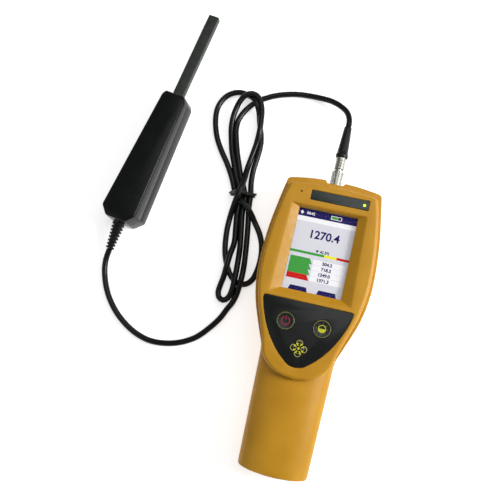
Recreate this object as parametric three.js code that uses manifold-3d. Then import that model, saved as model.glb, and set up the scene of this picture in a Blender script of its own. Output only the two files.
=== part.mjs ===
// Handheld three-axis field meter with a plug-in probe on a lead that is folded into a tied hank.
// Millimetres. The meter lies on its back: +Z out of the screen, +Y along it towards the socket.
// The origin is on the back face, under the middle of the screen.
import * as THREE from 'three';
import { mergeVertices } from 'three/addons/utils/BufferGeometryUtils.js';
import Module from 'manifold-3d';

const wasm = await Module();
wasm.setup();

// ---- driving dimensions -------------------------------------------------------------------
const GAP = 0.3;              // clearance between neighbouring pieces
const EPS = 0.05;             // how far a cutting body runs past the face it cuts

const CASE_TOP = 60.8;        // top edge of the case, on the centre line
const CASE_SHOULDER = 57;     // top edge at its corners
const CASE_CORNER_X = 38.3;
const HANDLE_END = -174.4;    // end of the handle, on the centre line
const NECK_Y = -78;           // where the head ends and the handle begins
const CASE_SIDE = [
  [41.4, 38], [44.6, 15], [46, -10], [45.2, -28], [41.9, -46], [36.2, -62.5], [30.4, -77.5],
];
const SHIELD_SIDE = [
  [35.5, -43.8], [33.4, -51.8], [29.2, -62.4], [23.3, -72.8], [15.2, -82.8], [7, -89.8],
];
const HANDLE_SIDE = [[29.3, -84], [27.1, -167.8]];
const POD_SIDE = [[38.9, 36], [42.1, 13], [43.4, -10], [42.6, -28], [39.3, -46], [33.9, -62], [29.4, -76]];
const POD_CHIN = [[29.4, -76], [26.8, -85.5], [21.4, -92.6], [12.6, -98.3], [0, -100.4]];
const POD_TOP = 53.9;
const POD_SHOULDER = 51.6;
const POD_CORNER_X = 35.3;

const FACE_Z = 40;            // flat front face of the head
const RIM_Z = 31;             // top of the rear shell's rim around the head
const LEDGE_Z = 23.7;         // where the front shell stands on the rear shell
const PARTING_Z = 17.55;      // joint between the two shells along the handle
const HANDLE_TOP_Z = 34;      // crown of the handle
const FLOOR_Z = 4;            // inner floor of the rear shell
const WALL = 2.6;
const BACK_BEVEL = [5, 9];    // how far the back edge is rounded: inwards, upwards
const FACE_BEVEL = 3;
const CROWN_POWER = 2.3;      // how square the handle's crown is in section
const HANDLE_DRAFT = 0.00092; // how fast the crown narrows towards the handle's end, per mm
const RIM_FALL_Y = -35;       // from here the rim falls towards the neck

const SCREEN = [47.2, 66.2];  // opening in front of the display
const FUNNEL_Z = 36;          // foot of the sloping walls around the display
const FUNNEL_TOP = [30.2, 34.9];       // half width and y of the funnel's top edge, at the face
const FUNNEL_FOOT = [32.3, -38.5];     // and of its bottom edge
const KEY_TRAVEL_GAP = 0.5;
const KEY_R = 7;
const KEY_XY = { power_key: [-14.3, -58.3], backlight_key: [14.2, -58.4] };
const NAV_XY = [0, -76.8];
const PETAL_R = 2.85;
const PETAL_REACH = 4;        // from the middle of the pad to the middle of a petal
const OK_KEY_R = 1.35;
const OVERLAY_Z = 39;
const OVERLAY_T = 0.8;
const KEY_BOARD_Z = 33.1;
const BOARD_T = 1.6;
const KEY_FOOT_Z = KEY_BOARD_Z + BOARD_T + KEY_TRAVEL_GAP;

const LABEL = [46.2, 7.8];
const LABEL_XY = [6.6, 43.8];
const LED_XY = [26.1, 43.6];
const LED_R = 1.5;
const SOUND_XY = [-24.5, 44.9];
const SCREW_BORE = 1.7;
const CASE_SCREWS = [[-32, 46], [32, 46], [-24, -66], [24, -66]];

const CELL_R = 7.1;           // an AA cell
const CELL_L = 50;
const CELL_PITCH = 14.9;
const CELL_Z = 12.7;
const NUB_H = 2;              // reach of a battery contact
const BAY_Y = [-163, -104];
const DOOR_HALF = 22.6;
const DOOR_SPREAD = 0.8;      // the door's edges spread inwards, so that the rails hold it
const DOOR_T = 2.2;
const DOOR_TOP_Y = -101;

const SOCKET_Z = 16;          // height of the plug's axis
const NOTCH = [9.4, 6.2, 58.2];        // half width at the edge, half width inside, y of its floor
const SLEEVE_R = 5;
const SLEEVE_BORE = 4.1;
const FLUTES = 18;            // grip flutes round the sleeve
const SLEEVE_Y = [60.2, 73.4];
const COLLAR_R = 4.1;
const COLLAR_Y = [75.6, 86];
const BOOT_Y = [86.3, 114];
const CORD_R = 2.5;

const PROBE_AT = [-171.2, -0.1];
const PROBE_TURN = -9.66;     // degrees about +Z
const PROBE_L = 115;
const PROBE_BASE_HALF = [18, 14];      // half widths at the cable end and at the rod end
const PROBE_FACE_HALF = [15.2, 10.8];
const PROBE_T = [27, 21];     // thickness at the cable end and at the rod end
const PROBE_CORNER = [2.6, 4];         // corners cut off at the rod end: across, along
const PROBE_SPLIT_Z = 12.5;
const ROD_HALF = [4.8, 3.3];   // half the rod's width and half its thickness
const ROD_WALL = 1;
const ROD_END = 197.5;
const ROD_Z = 10.5;
const ROD_START = 97;         // the rod's end inside the handle
const FIRST_SENSOR = 4.5;
const SENSOR_PITCH = 5;
const PROBE_WALL = 2.2;
const PROBE_SCREW_Y = [2.5, 93];
const RELIEF_Y = [-6.8, -30];
const RELIEF_Z = [12.2, 6.3]; // height of its axis at the handle and at the cord
const RELIEF_R = [5.4, 3.6];
const RIBS = 8;

// The cord's two loose stretches, from the plug to the hank and from the hank to the probe.
const PLUG_ROUTE = [
  [0, 114.3, 16], [-0.2, 120, 15.4], [-3.2, 127.5, 13.4], [-9.5, 133.6, 10], [-18.5, 138, 7.3],
  [-28.5, 140.4, 4.2], [-39, 141.2, 2.8], [-50, 140.6, 2.6], [-61, 138.2, 2.6], [-70.4, 134.9, 2.6],
];
const PROBE_ROUTE = [
  [-65.6, -56.8, 2.6], [-69.4, -65.4, 2.6], [-75.6, -74.7, 2.6], [-85.3, -85.6, 2.6],
  [-97.4, -92.8, 2.6], [-110.8, -96.6, 2.6], [-124.6, -97, 2.6], [-140, -92.2, 2.6],
  [-156.6, -81, 2.6], [-168.8, -66.4, 2.6], [-176, -50.4, 2.8], [-177.6, -39.4, 4.1],
  [-176.3, -30.2, 6.3],
];
const HANK_OUTLINE = [
  [-77, 137.2], [-90, 137.4], [-108, 134.8], [-119.6, 121], [-119, 102], [-104, 70.5], [-87.8, 44],
  [-86.4, 20], [-85.4, 2], [-81.5, -20], [-77.4, -40], [-71.4, -54.2], [-62.5, -52.6],
  [-51.4, -37.5], [-47.5, -27], [-47.4, -9], [-58.5, 22], [-67.6, 42], [-68.4, 60],
  [-67.4, 92], [-69.8, 122],
];
const HANK_H = 10.4;
const TIE_XY = [-77.6, 41.2];
const TIE_INNER = [21.5, 3.4];         // across the bundle, along the bundle
const TIE_T = 1.5;
const TIE_PROUD = 0.6;        // how far the tie stands above the hank
const TIE_TURN = 6;

// ---- materials ----------------------------------------------------------------------------
const paint = (color, roughness, metalness = 0) =>
  new THREE.MeshStandardMaterial({ color, roughness, metalness });
const yellow = paint(0xc8922e, 0.45);
const glossBlack = paint(0x1a1d1b, 0.2);
const matteBlack = paint(0x222624, 0.6);
const keyGrey = paint(0x232622, 0.3);
const labelGrey = paint(0x2f3a36, 0.5);
const ledLime = paint(0xc8f040, 0.3);
const clear = paint(0xe8eef0, 0.05);
const displayGrey = paint(0xd8dadc, 0.4);
const boardGreen = paint(0x1f5a34, 0.5);
const nickel = paint(0xc6c8c4, 0.25, 1);
const cellBlue = paint(0x3a4c66, 0.4);
const rodGrey = paint(0x3a403b, 0.7);
const cordBlack = paint(0x1d211f, 0.35);
const foam = paint(0x303030, 0.9);
const screwSteel = paint(0x9a9c9a, 0.35, 1);

// ---- solids and booleans ------------------------------------------------------------------
function solid(geometry) {
  const bare = geometry.clone();
  bare.deleteAttribute('normal');
  bare.deleteAttribute('uv');
  const merged = mergeVertices(bare, 1e-4);
  const corners = merged.index.array;
  const triangles = [];
  for (let i = 0; i < corners.length; i += 3) {
    const [a, b, c] = corners.slice(i, i + 3);
    if (a !== b && b !== c && c !== a) triangles.push(a, b, c);
  }
  const mesh = new wasm.Mesh({
    numProp: 3,
    vertProperties: new Float32Array(merged.attributes.position.array),
    triVerts: new Uint32Array(triangles),
  });
  mesh.merge();
  return new wasm.Manifold(mesh);
}

function geometryOf(manifold) {
  const mesh = manifold.getMesh();
  const geometry = new THREE.BufferGeometry();
  geometry.setAttribute('position', new THREE.BufferAttribute(mesh.vertProperties, 3));
  geometry.setIndex(new THREE.BufferAttribute(mesh.triVerts, 1));
  const flat = geometry.toNonIndexed();
  flat.computeVertexNormals();
  return flat;
}

const union = (bodies) => bodies.reduce((sum, body) => sum.add(body));
const cut = (body, tools) => tools.reduce((left, tool) => left.subtract(tool), body);

// A box between two corners.
function block(low, high) {
  const size = high.map((value, i) => value - low[i]);
  const geometry = new THREE.BoxGeometry(...size);
  geometry.translate(...low.map((value, i) => value + size[i] / 2));
  return geometry;
}

// An upright cylinder or cone standing on z0.
function post(x, y, z0, z1, radius, sides = 20, topRadius = radius) {
  const geometry = new THREE.CylinderGeometry(topRadius, radius, z1 - z0, sides);
  geometry.rotateX(Math.PI / 2);
  geometry.translate(x, y, (z0 + z1) / 2);
  return geometry;
}

// A solid of revolution about +Y through (x, z): profile points are [radius, y].
function turned(profile, sides = 24, x = 0, z = SOCKET_Z) {
  const points = profile.map(([radius, y]) => new THREE.Vector2(radius, y));
  const geometry = new THREE.LatheGeometry(points, sides);
  geometry.translate(x, 0, z);
  return geometry;
}

// A solid of revolution about +Z through (x, y): profile points are [radius, z].
function upright(profile, x, y, sides = 28) {
  const geometry = new THREE.LatheGeometry(profile.map((p) => new THREE.Vector2(...p)), sides);
  geometry.rotateX(Math.PI / 2);
  geometry.translate(x, y, 0);
  return geometry;
}

const disc = (x, y, z0, z1, radius, sides = 28) =>
  upright([[0, z0], [radius, z0], [radius, z1], [0, z1]], x, y, sides);

function prism(points, z0, z1) {
  const shape = new THREE.Shape(points);
  const geometry = new THREE.ExtrudeGeometry(shape, { depth: z1 - z0, bevelEnabled: false });
  geometry.translate(0, 0, z0);
  return geometry;
}

// A prism whose two ends are rounded inwards; the middle keeps the full outline.
function roundedPrism(points, z0, z1, inwards, upwards, segments) {
  const geometry = new THREE.ExtrudeGeometry(new THREE.Shape(points), {
    depth: z1 - z0 - 2 * upwards,
    bevelSize: inwards,
    bevelThickness: upwards,
    bevelOffset: -inwards,
    bevelSegments: segments,
  });
  geometry.translate(0, 0, z0 + upwards);
  return geometry;
}

// ---- outlines -----------------------------------------------------------------------------
const vec = (pairs) => pairs.map(([x, y]) => new THREE.Vector2(x, y));
const smooth = (pairs, divisions) => new THREE.SplineCurve(vec(pairs)).getPoints(divisions);
const bend = (a, control, b, divisions) =>
  new THREE.QuadraticBezierCurve(...vec([a, control, b])).getPoints(divisions);

// Mirrors a right-hand half, listed from the top of the centre line to its foot.
function mirrored(half) {
  const right = half.filter((p, i) => i === 0 || p.distanceTo(half[i - 1]) > 0.01);
  const left = right.filter((p) => p.x > 0.01).map((p) => new THREE.Vector2(-p.x, p.y));
  return [...right, ...left.reverse()].reverse();
}

// Moves a closed counter-clockwise outline inwards by a distance.
function inset(points, distance) {
  return points.map((p, i) => {
    const before = points[(i + points.length - 1) % points.length];
    const after = points[(i + 1) % points.length];
    const a = p.clone().sub(before).normalize();
    const b = after.clone().sub(p).normalize();
    const normal = new THREE.Vector2(-a.y - b.y, a.x + b.x).normalize();
    const reach = distance / Math.max(0.5, normal.dot(new THREE.Vector2(-a.y, a.x)));
    return p.clone().addScaledVector(normal, reach);
  });
}

// The case in plan; its four corners are either rounded or left sharp for the back's bevel.
function caseOutline(rounded) {
  const [cornerX, cornerY] = [CASE_CORNER_X, CASE_SHOULDER];
  const topEnd = rounded ? cornerX - 1.4 : cornerX;
  const top = bend([0, CASE_TOP], [20, CASE_TOP], [topEnd, cornerY], 7);
  const sideStart = rounded ? [cornerX + 0.5, cornerY - 2] : [cornerX, cornerY];
  const side = smooth([sideStart, ...CASE_SIDE], 22);
  const [neck, [endX, endY]] = HANDLE_SIDE;
  const foot = rounded
    ? [...bend([endX, endY], [endX - 0.1, endY - 3.6], [endX - 3.4, endY - 4.2], 4),
      ...bend([endX - 3.4, endY - 4.2], [12, HANDLE_END], [0, HANDLE_END], 6)]
    : bend([endX - 0.1, endY - 3.6], [12, HANDLE_END], [0, HANDLE_END], 6);
  return mirrored([...top, ...side, ...vec([neck]), ...foot]);
}

function podOutline() {
  const top = bend([0, POD_TOP], [18, POD_TOP], [POD_CORNER_X - 1.4, POD_SHOULDER], 6);
  const side = smooth([[POD_CORNER_X + 0.3, POD_SHOULDER - 2.2], ...POD_SIDE], 20);
  return mirrored([...top, ...side, ...smooth(POD_CHIN, 12).slice(1)]);
}

function shieldOutline() {
  const corner = bend([33.2, -41.2], [35.9, -41.2], [35.5, -43.8], 4);
  const side = smooth(SHIELD_SIDE, 16);
  const foot = bend([7, -89.8], [4, -91.6], [0, -91.6], 4);
  return mirrored([...vec([[0, -41.2]]), ...corner, ...side, ...foot]);
}

// One petal of the direction pad, pointing along +Y, clipped to its quarter of the pad.
function petalOutline() {
  const reach = PETAL_REACH;
  const points = [];
  for (let step = 0; step <= 20; step += 1) {
    const angle = (step / 20) * 2 * Math.PI - Math.PI / 2;
    const x = PETAL_R * Math.cos(angle);
    const y = reach + PETAL_R * Math.sin(angle);
    const limit = Math.max(0, y - GAP);
    points.push(new THREE.Vector2(Math.max(-limit, Math.min(limit, x)), Math.max(y, OK_KEY_R + GAP)));
  }
  return points.slice(0, 20);
}

// ---- the two case shells ------------------------------------------------------------------
// The handle's rounded crown in cross-section, with its straight sides carried down by a skirt.
function crownSection(halfWidth, top, skirt) {
  const steps = 22;
  const foot = PARTING_Z + GAP;
  const points = vec([[-halfWidth, foot - skirt], [halfWidth, foot - skirt]]);
  for (let step = skirt ? 0 : 1; step <= (skirt ? steps : steps - 1); step += 1) {
    const across = Math.cos((Math.PI * step) / steps);
    const rise = Math.max(0, 1 - Math.abs(across) ** CROWN_POWER) ** (1 / CROWN_POWER);
    points.push(new THREE.Vector2(halfWidth * across, foot + (top - foot) * rise));
  }
  return points;
}

// Sweeps a section along Y and draws it in towards the handle's end.
function handleSweep(points, y0, y1) {
  const shape = new THREE.Shape(points);
  const geometry = new THREE.ExtrudeGeometry(shape, { depth: y1 - y0, bevelEnabled: false });
  geometry.rotateX(Math.PI / 2);
  geometry.translate(0, y1, 0);
  const position = geometry.attributes.position;
  for (let i = 0; i < position.count; i += 1) {
    const drawIn = 1 - HANDLE_DRAFT * (HANDLE_SIDE[0][1] - position.getY(i));
    position.setX(i, position.getX(i) * drawIn);
  }
  return geometry;
}

// The sloping cut around the display: a box whose corners are moved to the funnel's own.
function funnelCut() {
  const geometry = new THREE.BoxGeometry(1, 1, 1);
  const position = geometry.attributes.position;
  for (let i = 0; i < position.count; i += 1) {
    const side = Math.sign(position.getX(i));
    const upper = position.getY(i) > 0;
    const open = position.getZ(i) > 0;
    const half = upper ? FUNNEL_TOP : FUNNEL_FOOT;
    const y = upper ? 1 : -1;
    if (open) position.setXYZ(i, side * half[0], half[1], FACE_Z + EPS);
    else position.setXYZ(i, (side * SCREEN[0]) / 2, (y * SCREEN[1]) / 2, FUNNEL_Z);
  }
  return geometry;
}

function keyHoles(z0, z1) {
  const round = Object.values(KEY_XY).map(([x, y]) => solid(disc(x, y, z0, z1, KEY_R + GAP)));
  const [x, y] = NAV_XY;
  const reaches = [[0, 1], [1, 0], [0, -1], [-1, 0]];
  const petals = reaches.map(([i, j]) =>
    solid(disc(x + i * PETAL_REACH, y + j * PETAL_REACH, z0, z1, PETAL_R + GAP, 24)));
  const middle = solid(disc(x, y, z0, z1, 2.2, 12));
  return union([...round, ...petals, middle]);
}

function frontShell() {
  const low = LEDGE_Z + GAP;
  const lid = block([-60, -120, low], [60, 80, 60]);
  const pod = solid(roundedPrism(podOutline(), low - 10, FACE_Z, FACE_BEVEL, FACE_BEVEL, 3))
    .intersect(solid(lid));
  const neck = NECK_Y - GAP;
  const crown = solid(handleSweep(crownSection(30, HANDLE_TOP_Z, 0), -190, neck))
    .intersect(solid(prism(caseOutline(true), 0, 60)));
  const podHollow = solid(prism(inset(podOutline(), WALL), low - 1, FACE_Z - 2.4));
  const handleHollow = solid(handleSweep(crownSection(30 - WALL, HANDLE_TOP_Z - WALL, 2), -190, -60))
    .intersect(solid(prism(inset(caseOutline(true), WALL), 0, 60)));
  const frame = solid(block([-33.6, -39.6, FUNNEL_Z - 0.9], [33.6, 36.6, FACE_Z - 1.5]));
  const bosses = CASE_SCREWS.map(([x, y]) =>
    solid(post(x, y, low, FACE_Z - 2, 3.3, 16)).intersect(solid(prism(inset(podOutline(), 0.6), low, 40))));
  const bossHoles = CASE_SCREWS.map(([x, y]) => solid(post(x, y, low - 1, 33, SCREW_BORE, 12)));
  const hollowed = cut(pod.add(crown), [podHollow, handleHollow]);
  const built = union([hollowed, frame, ...bosses]);
  const [labelX, labelY] = LABEL_XY;
  const labelHalf = [LABEL[0] / 2 + GAP, LABEL[1] / 2 + GAP];
  return geometryOf(cut(built, [
    ...bossHoles,
    solid(funnelCut()),
    solid(block([-SCREEN[0] / 2, -SCREEN[1] / 2, 30], [SCREEN[0] / 2, SCREEN[1] / 2, FUNNEL_Z + EPS])),
    solid(prism(shieldOutline(), OVERLAY_Z - GAP, FACE_Z + 1)),
    keyHoles(30, FACE_Z + 1),
    solid(block([labelX - labelHalf[0], labelY - labelHalf[1], FACE_Z - 1.1],
      [labelX + labelHalf[0], labelY + labelHalf[1], FACE_Z + 1])),
    solid(post(...LED_XY, 30, FACE_Z, LED_R + GAP, 16)),
    solid(post(...SOUND_XY, 30, FACE_Z + 1, 0.7, 8)),
  ]));
}

// The rail-edged slab that the battery door fills, grown by a clearance.
function doorSlab(clearance) {
  const low = DOOR_HALF + clearance;
  const high = low + DOOR_SPREAD;
  const top = DOOR_T + clearance;
  const section = vec([[-low, -1], [low, -1], [low, 0], [high, top], [-high, top], [-low, 0]]);
  const geometry = new THREE.ExtrudeGeometry(new THREE.Shape(section), { depth: 90, bevelEnabled: false });
  geometry.rotateX(Math.PI / 2);
  geometry.translate(0, DOOR_TOP_Y + clearance, 0);
  return geometry;
}

function caseBack() {
  const tall = roundedPrism(caseOutline(false), 0, 60, ...BACK_BEVEL, 4);
  return solid(tall).intersect(solid(prism(caseOutline(true), -1, 50)));
}

// Everything above the rim, which falls from the screen's sides towards the neck.
function aboveRim() {
  const past = NECK_Y - 1;
  const slopeSection = [[80, RIM_Z], [80, 70], [past, 70], [past, LEDGE_Z], [RIM_FALL_Y, RIM_Z]];
  const slope = new THREE.Shape(vec(slopeSection));
  const geometry = new THREE.ExtrudeGeometry(slope, { depth: 160, bevelEnabled: false });
  geometry.rotateX(Math.PI / 2);
  geometry.rotateZ(Math.PI / 2);
  geometry.translate(-80, 0, 0);
  return geometry;
}

function socketNotch() {
  const [mouthHalf, footHalf, footY] = NOTCH;
  const mouthY = CASE_TOP + 1;
  const mouth = vec([[-mouthHalf, mouthY], [-footHalf, footY], [footHalf, footY], [mouthHalf, mouthY]]);
  return prism(mouth, SOCKET_Z - 9, 60);
}

function rearShell() {
  const hollow = prism(inset(caseOutline(true), WALL), FLOOR_Z, LEDGE_Z + EPS);
  const headroom = block([-60, -200, 0], [60, 54.5, 60]);
  const cavity = solid(hollow).intersect(solid(headroom));
  const posts = CASE_SCREWS.map(([x, y]) => solid(post(x, y, FLOOR_Z - 1, LEDGE_Z - GAP, 3.3, 16)));
  const seat = solid(prism(inset(podOutline(), -GAP), LEDGE_Z, 60));
  const trimmed = cut(caseBack(), [
    solid(aboveRim()),
    seat,
    cavity,
    solid(block([-60, -200, PARTING_Z], [60, NECK_Y, 60])),
  ]);
  const screwHoles = CASE_SCREWS.flatMap(([x, y]) => [
    solid(post(x, y, -1, 60, SCREW_BORE, 12)),
    solid(post(x, y, -1, 2.6, 3.1, 16)),
  ]);
  return geometryOf(cut(union([trimmed, ...posts]), [
    ...screwHoles,
    solid(doorSlab(GAP)),
    solid(block([-22.2, BAY_Y[0], 0], [22.2, BAY_Y[1], FLOOR_Z + EPS])),
    solid(socketNotch()),
    solid(turned([[0, 50], [4.9, 50], [4.9, 70], [0, 70]])),
  ]));
}

function batteryDoor() {
  const grooves = [0, 1, 2, 3].map((i) =>
    solid(block([-9, DOOR_TOP_Y - 9 - 3 * i, -1], [9, DOOR_TOP_Y - 7.6 - 3 * i, 0.5])));
  return geometryOf(cut(caseBack().intersect(solid(doorSlab(0))), grooves));
}

// ---- display, keypad and label ------------------------------------------------------------
function plate([width, height], z0, z1, [x, y] = [0, 0]) {
  return block([x - width / 2, y - height / 2, z0], [x + width / 2, y + height / 2, z1]);
}

function gasket() {
  const inner = plate([SCREEN[0] + 0.8, SCREEN[1] + 0.8], 30, 40);
  return geometryOf(solid(plate([52, 71], 34.4, 34.8)).subtract(solid(inner)));
}

function overlay() {
  const film = solid(prism(inset(shieldOutline(), GAP), OVERLAY_Z, OVERLAY_Z + OVERLAY_T));
  return geometryOf(film.subtract(keyHoles(30, 50)));
}

function keyBoard() {
  const half = vec([[0, -42.6], [29.5, -42.6], [26.5, -56], [19, -62], [16.5, -74], [5, -86], [0, -86]]);
  return prism(mirrored(half), KEY_BOARD_Z, KEY_BOARD_Z + BOARD_T);
}

// A round key: the cap, the flange that keeps it in, and the stem that presses its dome.
function roundKey(x, y) {
  return upright([[0, KEY_FOOT_Z], [2.2, KEY_FOOT_Z], [2.2, 36.2], [KEY_R + 1.1, 36.2], [KEY_R + 1.1, 37.3],
    [KEY_R, 37.3], [KEY_R, 39.7], [KEY_R - 0.4, 40], [0, 40]], x, y, 32);
}

function petalKey(turn) {
  const geometry = prism(petalOutline(), KEY_FOOT_Z, FACE_Z);
  geometry.rotateZ(turn);
  geometry.translate(...NAV_XY, 0);
  return geometry;
}

function labelPlate() {
  const film = solid(plate(LABEL, 39.2, 39.8, LABEL_XY));
  return geometryOf(film.subtract(solid(post(...LED_XY, 30, 50, LED_R + GAP, 16))));
}

// ---- boards, cells and contacts -----------------------------------------------------------
function mainBoard() {
  const half = vec([[0, 48], [30, 48], [38.5, 14], [39.6, -12], [38, -34], [25, -76], [0, -76]]);
  const holes = CASE_SCREWS.map(([x, y]) => solid(post(x, y, 0, 60, 3.8, 16)));
  return geometryOf(cut(solid(prism(mirrored(half), 21.4, 21.4 + BOARD_T)), holes));
}

function batteryTray() {
  const outer = block([-23.4, BAY_Y[0] + 0.5, FLOOR_Z + GAP], [23.4, BAY_Y[1] - 0.5, 21.3]);
  const inner = block([-22.4, BAY_Y[0] + 1.7, 0], [22.4, BAY_Y[1] - 1.7, 20.1]);
  return geometryOf(solid(outer).subtract(solid(inner)));
}

function cell(index) {
  const low = (BAY_Y[0] + BAY_Y[1] - CELL_L) / 2;
  const high = low + CELL_L;
  const profile = [[0, low], [CELL_R, low], [CELL_R, high - 1.2], [2.7, high - 1.2], [2.7, high], [0, high]];
  const geometry = turned(profile, 20, 0, 0);
  if (index === 1) geometry.rotateZ(Math.PI);
  if (index === 1) geometry.translate(0, low + high, 0);
  geometry.translate(CELL_PITCH * (index - 1), 0, CELL_Z);
  return geometry;
}

// A contact strip with one tapered nub for each cell.
function contactStrip(y, facing) {
  const strip = solid(block([-21.8, y - 0.2, 6.5], [21.8, y + 0.2, 18.9]));
  const nubs = [-1, 0, 1].map((i) => {
    const geometry = new THREE.CylinderGeometry(1.8, 3.4, NUB_H, 14);
    if (facing < 0) geometry.rotateX(Math.PI);
    geometry.translate(i * CELL_PITCH, y + (facing * NUB_H) / 2, CELL_Z);
    return solid(geometry);
  });
  return geometryOf(union([strip, ...nubs]));
}

function caseScrew(x, y) {
  return upright([[0, 0.7], [2.8, 0.7], [2.8, 2.3], [1.4, 2.3], [1.4, 29], [0, 30]], x, y, 14);
}

// ---- socket, plug and its boot ------------------------------------------------------------
function socketNut() {
  const nut = new THREE.CylinderGeometry(6.4, 6.4, 2.4, 6);
  nut.translate(0, 52.8, SOCKET_Z);
  return geometryOf(solid(nut).subtract(solid(turned([[0, 40], [4.9, 40], [4.9, 70], [0, 70]]))));
}

const socket = () => turned([
  [0, 44], [4.6, 44], [4.6, 58.5], [6, 58.5], [6, 59.9], [3.9, 59.9], [3.9, 50.4], [0, 50.4],
]);

// The knurled sleeve that is drawn back to unlock the plug, with its grip cut as flutes.
function plugSleeve() {
  const [low, high] = SLEEVE_Y;
  const edge = SLEEVE_R - 0.3;
  const ring = solid(turned([[SLEEVE_BORE, low], [edge, low], [SLEEVE_R, low + 0.3], [SLEEVE_R, high - 0.3],
    [edge, high], [SLEEVE_BORE, high], [SLEEVE_BORE, low]], 36));
  const flutes = [];
  for (let i = 0; i < FLUTES; i += 1) {
    const angle = (2 * Math.PI * i) / FLUTES;
    const flute = new THREE.BoxGeometry(0.5, high - low - 2.4, 0.5);
    flute.translate(0, (low + high) / 2, SLEEVE_R);
    flute.rotateY(angle);
    flute.translate(0, 0, SOCKET_Z);
    flutes.push(solid(flute));
  }
  return geometryOf(cut(ring, flutes));
}

function cableBoot() {
  const [low, high] = BOOT_Y;
  const profile = [[0, low], [5, low], [5.3, low + 1.6], [4.7, low + 3.4], [3.2, high], [0, high]];
  const notch = solid(block([2.2, low - 1, SOCKET_Z - 1.2], [8, low + 3, SOCKET_Z + 1.2]));
  return geometryOf(solid(turned(profile, 20)).subtract(notch));
}

// ---- cord, hank and tie -------------------------------------------------------------------
function cordTube(route, steps) {
  const sides = 10;
  const section = [];
  for (let i = 0; i < sides; i += 1) {
    const angle = (2 * Math.PI * i) / sides;
    section.push(new THREE.Vector2(CORD_R * Math.cos(angle), CORD_R * Math.sin(angle)));
  }
  const path = new THREE.CatmullRomCurve3(route.map((p) => new THREE.Vector3(...p)), false, 'centripetal');
  const shape = new THREE.Shape(section);
  return new THREE.ExtrudeGeometry(shape, { steps, extrudePath: path, bevelEnabled: false });
}

// The band round the hank's waist, thickened all round by a clearance.
function tieRing(grow) {
  const [across, along] = TIE_INNER;
  const x = across / 2;
  const y = along / 2 + grow;
  const top = HANK_H + TIE_PROUD;
  const outer = block([-x - TIE_T - grow, -y, -grow], [x + TIE_T + grow, y, top + grow]);
  const inner = block([grow - x, -2 * y, TIE_T + grow], [x - grow, 2 * y, top - TIE_T - grow]);
  const ring = geometryOf(solid(outer).subtract(solid(inner)));
  ring.rotateZ((TIE_TURN * Math.PI) / 180);
  ring.translate(...TIE_XY, 0);
  return ring;
}

// The hank's outer shape, waisted where the tie goes round it.
function hank() {
  const outline = new THREE.SplineCurve(vec([...HANK_OUTLINE, HANK_OUTLINE[0]])).getPoints(60).slice(0, 60);
  return geometryOf(solid(prism(outline, 0, HANK_H)).subtract(solid(tieRing(GAP))));
}

// ---- the probe ----------------------------------------------------------------------------
function probePlan() {
  const [wide, narrow] = PROBE_BASE_HALF;
  const [cutX, cutY] = PROBE_CORNER;
  return vec([
    [-10.5, -6.4], [10.5, -6.4], [wide, 1], [narrow, PROBE_L - cutY], [narrow - cutX, PROBE_L],
    [cutX - narrow, PROBE_L], [-narrow, PROBE_L - cutY], [-wide, 1],
  ]);
}

// The tapering handle, drawn in on every side by a wall's thickness when it is the hollow.
function probeBody(wall) {
  const outline = new THREE.Shape(inset(probePlan(), wall));
  const geometry = new THREE.ExtrudeGeometry(outline, { depth: 1, bevelEnabled: false });
  const [faceWide, faceNarrow] = PROBE_FACE_HALF.map((half, i) => half / PROBE_BASE_HALF[i]);
  const position = geometry.attributes.position;
  for (let i = 0; i < position.count; i += 1) {
    const along = THREE.MathUtils.clamp(position.getY(i) / PROBE_L, 0, 1);
    const top = THREE.MathUtils.lerp(...PROBE_T, along) - wall;
    const onFace = position.getZ(i) > 0.5;
    if (onFace) position.setX(i, position.getX(i) * THREE.MathUtils.lerp(faceWide, faceNarrow, along));
    position.setZ(i, onFace ? top : wall);
  }
  return solid(geometry);
}

// Half of the probe's handle, above or below its parting line, hollowed and with its screw posts.
function probeShell(z0, z1) {
  const slice = solid(block([-30, -20, z0], [30, PROBE_L + 20, z1]));
  const posts = PROBE_SCREW_Y.map((y) => solid(post(0, y, 0.5, 30, 3, 14)));
  const body = probeBody(0);
  const inside = union(posts).intersect(body);
  const hollowed = body.subtract(probeBody(PROBE_WALL)).add(inside);
  const [holeX, holeZ] = ROD_HALF.map((half) => half + GAP);
  const screwHoles = PROBE_SCREW_Y.flatMap((y) => [
    solid(post(0, y, -1, 18, SCREW_BORE, 12)),
    solid(post(0, y, -1, 2.4, 2.9, 14)),
  ]);
  return geometryOf(cut(hollowed.intersect(slice), [
    ...screwHoles,
    solid(block([-holeX, PROBE_L - 10, ROD_Z - holeZ], [holeX, PROBE_L + 10, ROD_Z + holeZ])),
    solid(turned([[0, -10], [2.5, -10], [2.5, -2], [0, -2]], 12, 0, RELIEF_Z[0])),
  ]));
}

function probeRod() {
  const [x, z] = ROD_HALF;
  const [boreX, boreZ] = ROD_HALF.map((half) => half - ROD_WALL);
  const tube = solid(block([-x, ROD_START, ROD_Z - z], [x, ROD_END, ROD_Z + z]));
  return geometryOf(tube.subtract(
    solid(block([-boreX, ROD_START - 1, ROD_Z - boreZ], [boreX, ROD_END - 1.5, ROD_Z + boreZ]))));
}

const sensorChip = (y) => block([-1.3, y - 2, ROD_Z - 1.2], [1.3, y + 2, ROD_Z + 0.4]);

const PROBE_SCREW = [[0, 0.5], [2.6, 0.5], [2.6, 2.1], [1.4, 2.1], [1.4, 16], [0, 17]];
const probeScrew = (y) => upright(PROBE_SCREW, 0, y, 12);

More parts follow.
